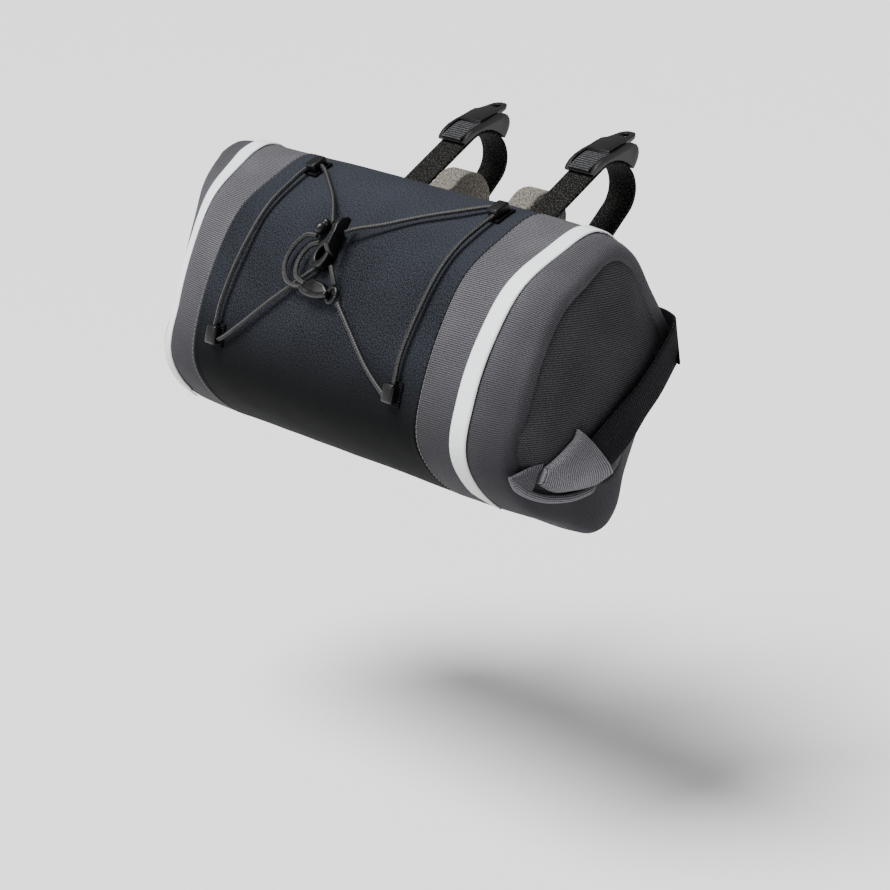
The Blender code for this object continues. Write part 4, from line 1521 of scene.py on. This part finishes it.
            # The pad starts blunt, at half its fullness
            start = 0.5 + 0.5 * min(1.0, k / blunt_rows) ** 0.5
            under, over, cloth = [], [], []
            for s in range(across + 1):
                t = s / across
                inner = 0 < s < across
                crown = (1.0 - abs(2 * t - 1) ** self.pad_square) ** self.pad_round if inner else 0.0
                back, up = top.x + (low.x - top.x) * t, top.y + (low.y - top.y) * t
                fullness = (self.pad_edge + (1.0 - self.pad_edge) * crown) * start
                under.append(tuple(self.over(back, up, lift)))
                over.append(tuple(self.over(back, up, lift + thickness * fullness)))
                cloth.append(((second - first).length * t / MM, passed / MM))
            rows.append(under + over[::-1] + under[:1])
            maps.append(cloth + cloth[::-1] + cloth[:1])
        close_ends(rows, maps)
        mesh = grid_mesh(name, np.array(rows), np.array(maps), wraps=True, crease_angle=70.0)
        weld(mesh)
        return mesh

    def flap(self) -> None:
        """Make the roll's lower end, folded back over the end panel, and the cloth tucked in before it."""
        mesh = self.fold("closure_flap_cloth_" + self.side.word, self.flap_rows, self.flap_lift,
                         self.flap_thickness)
        # The flap wears the lighter copy of the cloth: painted light
        show(mesh.name, mesh, self.finishes.flap, "grey_fabric", "closure_flap_" + self.side.word)
        mesh = self.fold("end_tuck_cloth_" + self.side.word, self.tuck_rows, self.tuck_lift,
                         self.tuck_thickness)
        show(mesh.name, mesh, self.finishes.tucked, "grey_fabric")

    def lip(self) -> None:
        """Make the pressed hem that shows as a light roll below the flap."""
        lift = self.lip_radius * 0.25
        path = curve_through([self.over(back, up, lift) for back, up in self.lip_course], 8)
        # Its ends grow thin
        radii = [self.lip_radius * min(1.0, 0.3 + 6 * min(t, 1 - t))
                 for t in np.linspace(0.0, 1.0, len(path))]
        mesh = tube_mesh("end_lip_cloth_" + self.side.word, path, radii, 16)
        # The lip wears the lighter copy of the cloth: painted light
        show(mesh.name, mesh, self.finishes.flap, "grey_fabric")

    def webbing(self) -> None:
        """Make the strap that pulls the folded end round to the back of the bag."""
        upper = self.over(*self.flap_rows[-1][:2], 0.0)
        lower = self.over(*self.flap_rows[-1][2:], 0.0)
        middle = (upper + lower) / 2
        run_round = self.side.pick(self.webbing_runs)
        rim = self.form.spot(self.rim_x - self.sign * HAIR, run_round)[0]
        lift = self.webbing_lift + self.webbing_thickness / 2
        span = 0.004
        points, facings = [], []
        for share in self.webbing_shares:
            y, z = middle.lerp(rim, share).yz
            along = self.at(y + span, z, 0.0) - self.at(y - span, z, 0.0)
            up = self.at(y, z + span, 0.0) - self.at(y, z - span, 0.0)
            facing = along.cross(up).normalized()
            facing = facing if facing.x * self.sign > 0 else -facing
            facings.append(facing)
            points.append(self.at(y, z, 0.0) + facing * lift)
        for share, lean in self.webbing_turn:
            x = self.sign * (self.form.seam + share * self.form.sleeve_length)
            point, out = self.form.spot(x, run_round)
            facing = (out + Vector((self.sign * lean, 0.0, 0.0))).normalized()
            points.append(point + facing * lift)
            facings.append(facing)
        stations = stations_along(curve_through(points, 8), curve_through(facings, 8))
        name = "closure_webbing_woven_" + self.side.word
        mesh = band_mesh(name, stations, self.webbing_width, self.webbing_thickness)
        show(name, mesh, self.finishes.webbing, "black_webbing", "closure_webbing_" + self.side.word)
        sewn = sewn_end("webbing_stitching_" + self.side.word, stations[-3:-16:-1], self.webbing_width,
                        self.webbing_thickness / 2 + SEWN_LIFT)
        show(sewn.name, sewn, self.finishes.thread, "black_webbing")

    def build(self) -> None:
        """Build the panel, the flap, the hem's lip and the strap."""
        self.panel()
        self.flap()
        self.lip()
        self.webbing()


@dataclass
class CordRig:
    """The elastic cord across the front, its guides and the hooks that draw it together."""

    form: BagForm
    finishes: Finishes
    diameter: float = 0.0026
    patch_size: tuple = (0.010, 0.0135)
    patch_thickness: float = 0.0010
    guide_size: tuple = (0.0080, 0.0105)
    guide_height: float = 0.0050
    # Columns: name, place along the bar, run down the front from the bag's top edge
    guides: tuple = (("top_left", -0.070, 0.012), ("bottom_left", -0.074, 0.127),
                     ("top_right", 0.079, 0.010), ("bottom_right", 0.077, 0.126))
    # Cord routes. Columns: place along the bar, run down the front, height over the cord's rest height
    left: tuple = (
        (-0.0115, 0.0508, 0.003), (-0.030, 0.035, 0.001), (-0.050, 0.021, 0.000), (-0.063, 0.013, 0.000),
        (-0.070, 0.012, 0.000), (-0.0735, 0.017, 0.000), (-0.073, 0.030, 0.000), (-0.071, 0.050, 0.000),
        (-0.071, 0.070, 0.000), (-0.073, 0.090, 0.000), (-0.0745, 0.108, 0.000), (-0.0745, 0.118, 0.000),
        (-0.0745, 0.124, 0.000), (-0.0725, 0.128, 0.000), (-0.0675, 0.1275, 0.000), (-0.054, 0.117, 0.000),
        (-0.034, 0.099, 0.000), (-0.0085, 0.0755, 0.000),
    )
    right: tuple = (
        (-0.0015, 0.0575, 0.004), (0.0075, 0.0510, 0.003), (0.020, 0.043, 0.001), (0.038, 0.029, 0.000),
        (0.056, 0.018, 0.000), (0.071, 0.009, 0.000), (0.078, 0.008, 0.000), (0.080, 0.013, 0.000),
        (0.079, 0.024, 0.000), (0.079, 0.040, 0.000), (0.080, 0.058, 0.000), (0.079, 0.080, 0.000),
        (0.077, 0.104, 0.000), (0.0775, 0.118, 0.000), (0.0775, 0.124, 0.000), (0.0755, 0.128, 0.000),
        (0.0705, 0.1275, 0.000), (0.053, 0.117, 0.000), (0.035, 0.103, 0.000), (0.0192, 0.0903, 0.001),
    )
    hooked: tuple = ((0.0128, 0.0815, 0.002), (0.0095, 0.0765, 0.0035), (0.0058, 0.0732, 0.003))
    tail_outer: tuple = (
        (-0.0198, 0.0590, 0.0000), (-0.0262, 0.0603, 0.0010), (-0.0310, 0.0665, 0.0010),
        (-0.0330, 0.0745, 0.0010), (-0.0300, 0.0815, 0.0022), (-0.0235, 0.0870, 0.0034),
        (-0.0165, 0.0885, 0.0034), (-0.0105, 0.0876, 0.0026),
    )
    tail_inner: tuple = (
        (-0.0140, 0.0625, 0.0010), (-0.0195, 0.0655, 0.0010), (-0.0225, 0.0715, 0.0010),
        (-0.0215, 0.0785, 0.0020), (-0.0175, 0.0832, 0.0033), (-0.0132, 0.0850, 0.0034),
        (-0.0095, 0.0858, 0.0028),
    )
    # Columns: name, place along the bar, run down the front, height, size along, up and out, turn in degrees
    hooks: tuple = (
        ("upper_hook", -0.0062, 0.0640, 0.0004, 0.0120, 0.0250, 0.0060, -6),
        ("hook_grip", 0.0020, 0.0575, 0.0060, 0.0034, 0.0235, 0.0086, 10),
        ("cord_lock", -0.0195, 0.0535, 0.0000, 0.0075, 0.0085, 0.0070, -20),
        ("lower_hook", 0.0015, 0.0865, 0.0000, 0.0290, 0.0090, 0.0080, -4),
    )
    # The upper hook's plate, as shares of its size, and its holes: their middles and radii, and their corners
    hook_outline: tuple = (
        (-0.50, -0.30), (-0.42, -0.46), (-0.20, -0.50), (0.20, -0.50), (0.42, -0.46), (0.50, -0.30),
        (0.50, -0.05), (0.36, 0.12), (0.30, 0.40), (0.16, 0.50), (-0.10, 0.50), (-0.22, 0.42),
        (-0.26, 0.18), (-0.46, 0.02),
    )
    hook_holes: tuple = ((0.0, -0.16, 0.24, 0.20, 24), (0.0, 0.28, 0.13, 0.09, 20))
    # The cord lock's shape. Columns: share of its half length, share of its half height
    lock_rows: tuple = ((-1.0, 0.62), (-0.8, 0.86), (-0.5, 1.0), (0.2, 1.0), (0.3, 0.8), (0.5, 0.8),
                        (0.6, 0.95), (1.0, 0.8))
    # The lower hook's plate, as shares of its size, and how much of its height the plate has
    lower_outline: tuple = (
        (-0.46, -0.30), (-0.40, 0.10), (-0.22, 0.50), (0.10, 0.46), (0.30, 0.10), (0.30, -0.30),
        (0.12, -0.44), (-0.10, -0.62), (-0.30, -0.58),
    )
    plate_share: float = 0.62
    # The lower hook's bar. Columns: along and up as shares of its size, radius as a share of its half height
    bar_rows: tuple = ((-0.44, -0.30, 0.40), (-0.30, -0.42, 0.52), (-0.10, -0.44, 0.50),
                       (0.10, -0.34, 0.46), (0.30, -0.10, 0.46))
    bar_share: float = 0.72
    # The eye's place on the lower hook and height over the bag, its half length and half width, its thickness
    eye_place: tuple = (0.0108, 0.0)
    eye_height: float = 0.0040
    eye_radii: tuple = (0.0034, 0.0042)
    eye_thickness: float = 0.0024

    def __post_init__(self) -> None:
        """Work out how high the patches and the cord lie over the cloth."""
        self.patch_lift = 2 * GAP + self.patch_thickness
        self.cord_lift = self.patch_lift + 2 * GAP + self.diameter / 2

    def path(self, name: str) -> list[Vector]:
        """Return the smooth path of the cord that has this name."""
        route = getattr(self, name)
        return curve_through([self.form.spot(x, run, self.cord_lift + height)[0]
                              for x, run, height in route], 8)

    def mould(self, name: str, mesh: Mesh, *nodes: str) -> None:
        """Show a mesh as a piece of black nylon."""
        show(name, mesh, self.finishes.plastic, "black_plastic", *nodes)

    def cords(self) -> None:
        """Lay the cord's two loops, its hooked stretch and its two tails."""
        for name in ("left", "right", "hooked", "tail_outer", "tail_inner"):
            mesh = tube_mesh("elastic_cord_braid_" + name, self.path(name), self.diameter / 2)
            show(mesh.name, mesh, self.finishes.elastic, "elastic_cord", "elastic_cord_" + name)

    def patches(self) -> None:
        """Sew a patch under each guide and set the guide on it."""
        half_x, half_run = self.patch_size[0] / 2, self.patch_size[1] / 2
        alongs = np.linspace(-half_x, half_x, 11)
        for name, x, run in self.guides:
            rows, maps = [], []
            for down in np.linspace(-half_run, half_run, 15):
                rows.append([tuple(self.form.spot(x + along, run + down, self.patch_lift)[0])
                             for along in alongs])
                maps.append([(down / MM, along / MM) for along in alongs])
            mesh = grid_mesh("guide_patch_woven_" + name, np.array(rows), np.array(maps))
            face_towards(mesh, self.form.spot(x, run)[1])
            piece = show(mesh.name, mesh, self.finishes.webbing, "black_webbing", "guide_patch_" + name)
            wall(piece, self.patch_thickness)
            self.guide(name, x, run)

    def guide(self, name: str, x: float, run: float) -> None:
        """Mould a guide with a tunnel for the cord."""
        place = self.form.place(x, run, self.patch_lift + GAP)
        size = (*self.guide_size, self.guide_height)
        solid = rounded_block("cord_guide_moulded_" + name, size, place, 0.0012)
        tunnel = tube_mesh("tunnel", self.path("left" if x < 0 else "right"), self.diameter / 2 + GAP)
        mesh = carved(solid, [("DIFFERENCE", tunnel)], 0.0003)
        self.mould(mesh.name, mesh, "cord_guide_" + name)

    def upper_hook(self, size: Vector, place: Matrix) -> Mesh:
        """Mould the plate that the cord's upper ends meet at: broad below, a narrow tongue above."""
        middle = place @ Matrix.Translation((0, 0, size.z / 2))
        plate = profile_mesh("upper_hook", [(a * size.x, b * size.y) for a, b in self.hook_outline],
                             size.z, middle)
        cuts = []
        for along, up, half_x, half_y, corners in self.hook_holes:
            hole = oval((along * size.x, up * size.y), (half_x * size.x, half_y * size.y),
                        range(0, 360, 360 // corners))
            cuts.append(("DIFFERENCE", profile_mesh("slot", hole, 3 * size.z, middle)))
        return carved(plate, cuts, 0.0011)

    def hook_grip(self, size: Vector, place: Matrix) -> Mesh:
        """Mould the grip plate that stands on the hook, with ridges along its outer edge."""
        ridges = [(-0.38 + 0.05 * k, 0.98 - 0.07 * (k % 2)) for k in range(8)]
        outline = [(-0.50, 0.00), (-0.50, 0.55), (-0.44, 0.82), *ridges, (0.15, 0.98), (0.36, 0.80),
                   (0.50, 0.35), (0.50, 0.00)]
        flat = [(a * size.y, b * size.z) for a, b in outline]
        return profile_mesh("hook_grip", flat, size.x, place @ ON_EDGE, 0.0005)

    def cord_lock(self, size: Vector, place: Matrix) -> Mesh:
        """Mould the small barrel that grips the cord."""
        half, middle = size.y / 2, size.z / 2
        path = [place @ Vector((0.0, at * half, middle)) for at, _ in self.lock_rows]
        return tube_mesh("cord_lock", path, [share * middle for _, share in self.lock_rows], 18)

    def lower_hook(self, size: Vector, place: Matrix) -> Mesh:
        """Mould the lower hook's flat plate, which its bar and its eye grow from."""
        middle = place @ Matrix.Translation((0, 0, size.z / 2))
        flat = [(a * size.x, b * size.y) for a, b in self.lower_outline]
        return carved(profile_mesh("lower_hook", flat, size.z * self.plate_share, middle), [], 0.0014)

    def bar(self, size: Vector, place: Matrix) -> None:
        """Mould the rounded bar along the lower hook's lower edge."""
        spots = [place @ Vector((along * size.x, up * size.y, size.z * self.bar_share))
                 for along, up, _ in self.bar_rows]
        path = curve_through(spots, 6)
        last = len(spots) - 1
        thick = [share * size.z / 2 for _, _, share in self.bar_rows]
        radii = np.interp(np.linspace(0, last, len(path)), range(last + 1), thick)
        self.mould("lower_hook_bar", tube_mesh("lower_hook_bar", path, [float(r) for r in radii]))

    def eye(self, place: Matrix) -> None:
        """Mould the lower hook's eye, which the cord passes."""
        turns = np.linspace(0.0, 360 * 0.999, 40)
        ring = [place @ Vector((*spot, self.eye_height))
                for spot in oval(self.eye_place, self.eye_radii, turns)]
        self.mould("lower_hook_eye", tube_mesh("lower_hook_eye", ring, self.eye_thickness / 2, 12))

    def centre(self) -> None:
        """Make the hooks, the grip and the lock in the middle."""
        for name, x, run, height, along, up, rise, degrees in self.hooks:
            turn = Matrix.Rotation(math.radians(degrees), 4, "Z")
            place = self.form.place(x, run, GAP + height) @ turn
            size = Vector((along, up, rise))
            self.mould(name + "_moulded", getattr(self, name)(size, place), name)
            if name == "lower_hook":
                self.bar(size, place)
                self.eye(place)

    def build(self) -> None:
        """Build the cords, the guides and the hooks."""
        self.cords()
        self.patches()
        self.centre()


@dataclass
class BarMount:
    """One strap round the handlebar with its cam buckle, tail and foam spacer."""

    form: BagForm
    finishes: Finishes
    side: Side
    bar_diameter: float = 0.0318
    # Left, right: the strap's middle along the bar
    strap_places: tuple = (-0.048, 0.057)
    strap_width: float = 0.0205
    strap_thickness: float = 0.0022
    tail_width: float = 0.016
    tail_thickness: float = 0.0016
    buckle_width: float = 0.0225
    cheek: float = 0.0024
    floor: float = 0.0015
    lever_tip: float = 0.0128
    # Degrees from +Y towards +Z where the strap meets the bar and leaves it, and where the tail and base end
    wrap: tuple = (118.5, -50)
    tail_end: float = 98
    base_end: float = 40
    channel_end: float = 10
    # How far the tail, the buckle's base and its channel run straight before they meet the bar
    tail_before: float = 0.0085
    base_before: float = 0.0086
    channel_before: float = 0.0140
    # Rounds of the bag's section where the strap's two ends are sewn on
    upper_runs: tuple = (-0.050, -0.044, -0.038)
    lower_runs: tuple = (-0.086, -0.092, -0.098)
    spacer_places: tuple = (-0.0275, 0.0355)
    spacer_width: float = 0.018
    spacer_runs: tuple = (-0.034, -0.072)
    spacer_rounding: float = 0.0012
    # The foam's rounded side towards the bar: its middle's back and up, and its reach and height
    spacer_crown: tuple = (-0.0290, -0.0150, 0.0158, 0.0166)
    # The buckle's side over its base, from the back to the front, in millimetres from the bar's axis
    cheek_back: tuple = ((14.6, 12.0), (16.2, 14.2), (17.8, 17.2), (18.6, 20.5), (18.3, 23.0), (16.8, 25.3),
                         (14.2, 26.5), (11.2, 26.6), (7.0, 25.6), (2.0, 24.0), (-4.0, 22.5), (-9.5, 20.5),
                         (-14.0, 17.8), (-16.6, 15.0), (-17.2, 13.3))
    # The lever's side, the same way
    lever_side: tuple = ((-2.5, 22.8), (4.0, 23.2), (11.0, 24.2), (16.0, 25.6), (20.0, 27.0), (23.6, 28.4),
                         (24.4, 29.1), (23.8, 29.7), (20.0, 29.0), (16.0, 28.2), (12.0, 27.4), (7.0, 26.4),
                         (1.0, 25.0), (-2.2, 24.0))
    # The lever from above, by its distance behind the bar's axis: where its shoulders start, where they end,
    # how much wider than the tip they are there, the rounded tip's middle and the hole in it
    shoulder_start: float = 0.0100
    shoulder_end: float = 0.0142
    shoulder: float = 0.0008
    tip_middle: float = 0.0178
    hole_middle: float = 0.0182
    hole_radii: tuple = (0.0027, 0.0026)

    def __post_init__(self) -> None:
        """Find the strap's middle along the bar."""
        self.x = self.side.pick(self.strap_places)

    def circle(self, radius: float, start: float, end: float, steps: int) -> list[Vector]:
        """Return points on a circle about the bar, by angle in degrees from +Y towards +Z."""
        spots = []
        for k in range(steps + 1):
            angle = math.radians(start + (end - start) * k / steps)
            spots.append(Vector((self.x, radius * math.cos(angle), radius * math.sin(angle))))
        return spots

    def onto_bar(self, radius: float, before: float, end: float, steps: int) -> list[Vector]:
        """Return points that run straight onto a circle about the bar and round it to an angle.

        Args:
            radius: The circle's radius.
            before: How far the points run straight, before the place where the strap meets the bar.
            end: The last point's angle, in degrees.
            steps: How many steps the points round the circle make.

        Returns:
            The points.
        """
        arc = self.circle(radius, self.wrap[0], end, steps)
        angle = math.radians(self.wrap[0])
        ahead = Vector((0.0, -math.sin(angle), math.cos(angle)))
        return [arc[0] + ahead * before * (1 - k / 4) for k in range(4)] + arc

    def upright(self, name: str, side: Sequence, width: float) -> Mesh:
        """Return a piece of the buckle, from its side view about the bar's axis."""
        return profile_mesh(name, side, width, Matrix.Translation((self.x, 0, 0)) @ ON_EDGE)

    def straight(self, points: Sequence[Vector]) -> list[Station]:
        """Return the stations of a strap that stays in its own upright plane."""
        across = Vector((1, 0, 0))
        made = []
        for k, point in enumerate(points):
            run = (points[min(k + 1, len(points) - 1)] - points[max(k - 1, 0)]).normalized()
            made.append(Station(point, across.cross(run), across))
        return made

    def strap(self) -> None:
        """Make the loop round the bar and the tail that the buckle grips."""
        radius = self.bar_diameter / 2 + GAP + self.strap_thickness / 2
        lift = GAP + self.strap_thickness / 2
        upper, lower = [[self.form.spot(self.x, run, lift)[0] for run in runs]
                        for runs in (self.upper_runs, self.lower_runs)]
        arc = self.circle(radius, *self.wrap, 40)
        away = [upper[-1].lerp(arc[0], t) for t in (0.08, 0.2, 0.4, 0.6, 0.8, 0.92)]
        back = [arc[-1].lerp(lower[0], t) for t in (0.08, 0.25, 0.5, 0.75, 0.92)]
        loop = self.straight(curve_through(upper + away + arc + back + lower, 2))
        mesh = band_mesh("bar_strap_rubber_" + self.side.word, loop, self.strap_width, self.strap_thickness)
        show(mesh.name, mesh, self.finishes.rubber, "strap_rubber", "bar_strap_" + self.side.word)
        lift = self.strap_thickness / 2 + SEWN_LIFT
        for name, end, face in (("upper", loop[1:5], -lift), ("lower", loop[-2:-6:-1], lift)):
            sewn = sewn_end("strap_stitching_" + name + "_" + self.side.word, end, self.strap_width, face)
            show(sewn.name, sewn, self.finishes.dark_thread, "strap_rubber")
        under = self.bar_diameter / 2 + self.strap_thickness + self.floor + 3 * GAP
        tail = self.onto_bar(under + self.tail_thickness / 2, self.tail_before, self.tail_end, 16)
        mesh = band_mesh("strap_tail_woven_" + self.side.word, self.straight(tail), self.tail_width,
                         self.tail_thickness)
        show(mesh.name, mesh, self.finishes.tail, "black_webbing", "strap_tail_" + self.side.word)

    def frame(self) -> None:
        """Make the cam buckle's channel."""
        seat = self.bar_diameter / 2 + self.strap_thickness + 2 * GAP
        base = [(p.y, p.z) for p in self.onto_bar(seat, self.base_before, self.base_end, 16)]
        side = base + [(y * MM, z * MM) for y, z in self.cheek_back]
        solid = self.upright("buckle_frame_moulded_" + self.side.word, side, self.buckle_width)
        floor = [(p.y, p.z) for p in self.onto_bar(seat + self.floor, self.channel_before,
                                                   self.channel_end, 20)]
        over = 0.05
        channel = self.upright("channel", floor + [(over, over), (-over, over)],
                               self.buckle_width - 2 * self.cheek)
        mesh = carved(solid, [("DIFFERENCE", channel)], 0.0006)
        show(mesh.name, mesh, self.finishes.plastic, "black_plastic", "buckle_frame_" + self.side.word)

    def lever(self) -> None:
        """Make the cam buckle's closed lever, with a rounded tip and a hole."""
        half, tip = self.buckle_width / 2 - self.cheek - GAP, self.lever_tip / 2
        right = [(half, -0.01), (half, self.shoulder_start), (tip + self.shoulder, self.shoulder_end)]
        left = [(-x, y) for x, y in reversed(right)]
        plan = right + oval((0.0, self.tip_middle), (tip, tip), range(0, 181, 15)) + left
        hole = oval((0.0, self.hole_middle), self.hole_radii, range(0, 360, 20))
        above = Matrix.Translation((self.x, 0.0, 0.0))
        tall = 0.08
        solid = self.upright("buckle_lever_moulded_" + self.side.word,
                             [(y * MM, z * MM) for y, z in self.lever_side], 2 * half)
        mesh = carved(solid, [("INTERSECT", profile_mesh("tip_plan", plan, tall, above)),
                              ("DIFFERENCE", profile_mesh("tip_hole", hole, tall, above))], 0.0005)
        show(mesh.name, mesh, self.finishes.plastic, "black_plastic", "buckle_lever_" + self.side.word)

    def spacer(self) -> None:
        """Make the foam block between the bag's back and the bar."""
        x = self.side.pick(self.spacer_places)
        upper, lower = [self.form.spot(x, run, 2 * GAP)[0] for run in self.spacer_runs]
        back, up, reach, height = self.spacer_crown
        outline = [(upper.y, upper.z), (lower.y, lower.z),
                   *oval((back, up), (reach, height), range(-10, 141, 15))]
        name = "foam_spacer_cut_" + self.side.word
        mesh = profile_mesh(name, outline, self.spacer_width, Matrix.Translation((x, 0, 0)) @ ON_EDGE,
                            self.spacer_rounding)
        # A slanted map, so that its pores show on every face
        layer = mesh.uv_layers.new(name=CLOTH_MAP)
        for corner, place in zip(mesh.loops, layer.data):
            spot = mesh.vertices[corner.vertex_index].co
            place.uv = ((spot.x + spot.y) / MM, (spot.z + spot.y * 0.3) / MM)
        show(name, mesh, self.finishes.foam, "spacer_foam", "foam_spacer_" + self.side.word)

    def build(self) -> None:
        """Build the strap, the buckle and the spacer."""
        self.strap()
        self.frame()
        self.lever()
        self.spacer()


@dataclass
class Studio:
    """A pale floor, soft lights and the camera at the photograph's angle."""

    finishes: Finishes
    floor_z: float = -0.330
    floor_size: float = 16.0
    camera_place: tuple = (1.180, -1.116, 0.380)
    azimuth: float = 48.3
    elevation: float = 18.5
    lens_mm: float = 118.1
    # The sun is wide, so that its shadows are soft
    sun_aim: tuple = (0.22, 0.50, -1.15)
    sun_energy: float = 5.8
    sun_degrees: float = 32
    key_place: tuple = (-0.9, -1.9, 1.0)
    key_size: float = 1.2
    key_watts: float = 16.0
    bag_middle: tuple = (0.0, -0.09, -0.07)
    sky: str = "#f5f6f8"
    sky_strength: float = 0.30

    def floor(self) -> None:
        """Lay the floor."""
        half = self.floor_size / 2
        made = bpy.data.meshes.new("studio_floor")
        made.from_pydata([(-half, -half, self.floor_z), (half, -half, self.floor_z),
                          (half, half, self.floor_z), (-half, half, self.floor_z)], [], [(0, 1, 2, 3)])
        made.materials.append(self.finishes.paper)
        floor = bpy.data.objects.new("studio_floor", made)
        bpy.context.scene.collection.objects.link(floor)

    def hang(self, data: bpy.types.ID, place: Sequence[float], aim: Vector) -> bpy.types.Object:
        """Put a light or a camera at a place, facing along an aim."""
        hung = bpy.data.objects.new(data.name, data)
        hung.location = place
        hung.rotation_euler = aim.to_track_quat("-Z", "Y").to_euler()
        bpy.context.scene.collection.objects.link(hung)
        return hung

    def lights(self) -> None:
        """Light the bag softly from the high front left, so its right end lies in shade."""
        sun = bpy.data.lights.new("wide_sun", "SUN")
        sun.energy = self.sun_energy
        sun.angle = math.radians(self.sun_degrees)
        self.hang(sun, (0.0, 0.0, 0.0), Vector(self.sun_aim))
        key = bpy.data.lights.new("key_lamp", "AREA")
        key.size = self.key_size
        key.energy = self.key_watts
        self.hang(key, self.key_place, Vector(self.bag_middle) - Vector(self.key_place))
        world = bpy.context.scene.world or bpy.data.worlds.new("studio")
        bpy.context.scene.world = world
        world.use_nodes = True
        sky = world.node_tree.nodes["Background"]
        sky.inputs["Color"].default_value = linear(self.sky)
        sky.inputs["Strength"].default_value = self.sky_strength

    def camera(self) -> None:
        """Set the camera."""
        data = bpy.data.cameras.new("camera")
        data.lens = self.lens_mm
        data.sensor_width = 36.0
        turn, tilt = math.radians(self.azimuth), math.radians(self.elevation)
        aim = Vector((-math.sin(turn) * math.cos(tilt), math.cos(turn) * math.cos(tilt), -math.sin(tilt)))
        bpy.context.scene.camera = self.hang(data, self.camera_place, aim)

    def build(self) -> None:
        """Build the floor, the lights and the camera."""
        self.floor()
        self.lights()
        self.camera()


def main() -> None:
    """Build the bag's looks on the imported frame."""
    logging.basicConfig(level=logging.INFO, format="%(name)s %(message)s")
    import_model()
    finishes = Finishes()
    Studio(finishes).build()
    form = BagForm()
    SoftTube(form, finishes).build()
    Strips(form, finishes).build()
    CordRig(form, finishes).build()
    for side in Side:
        EndClosure(form, finishes, side).build()
        BarMount(form, finishes, side).build()


if __name__ == "__main__":
    main()
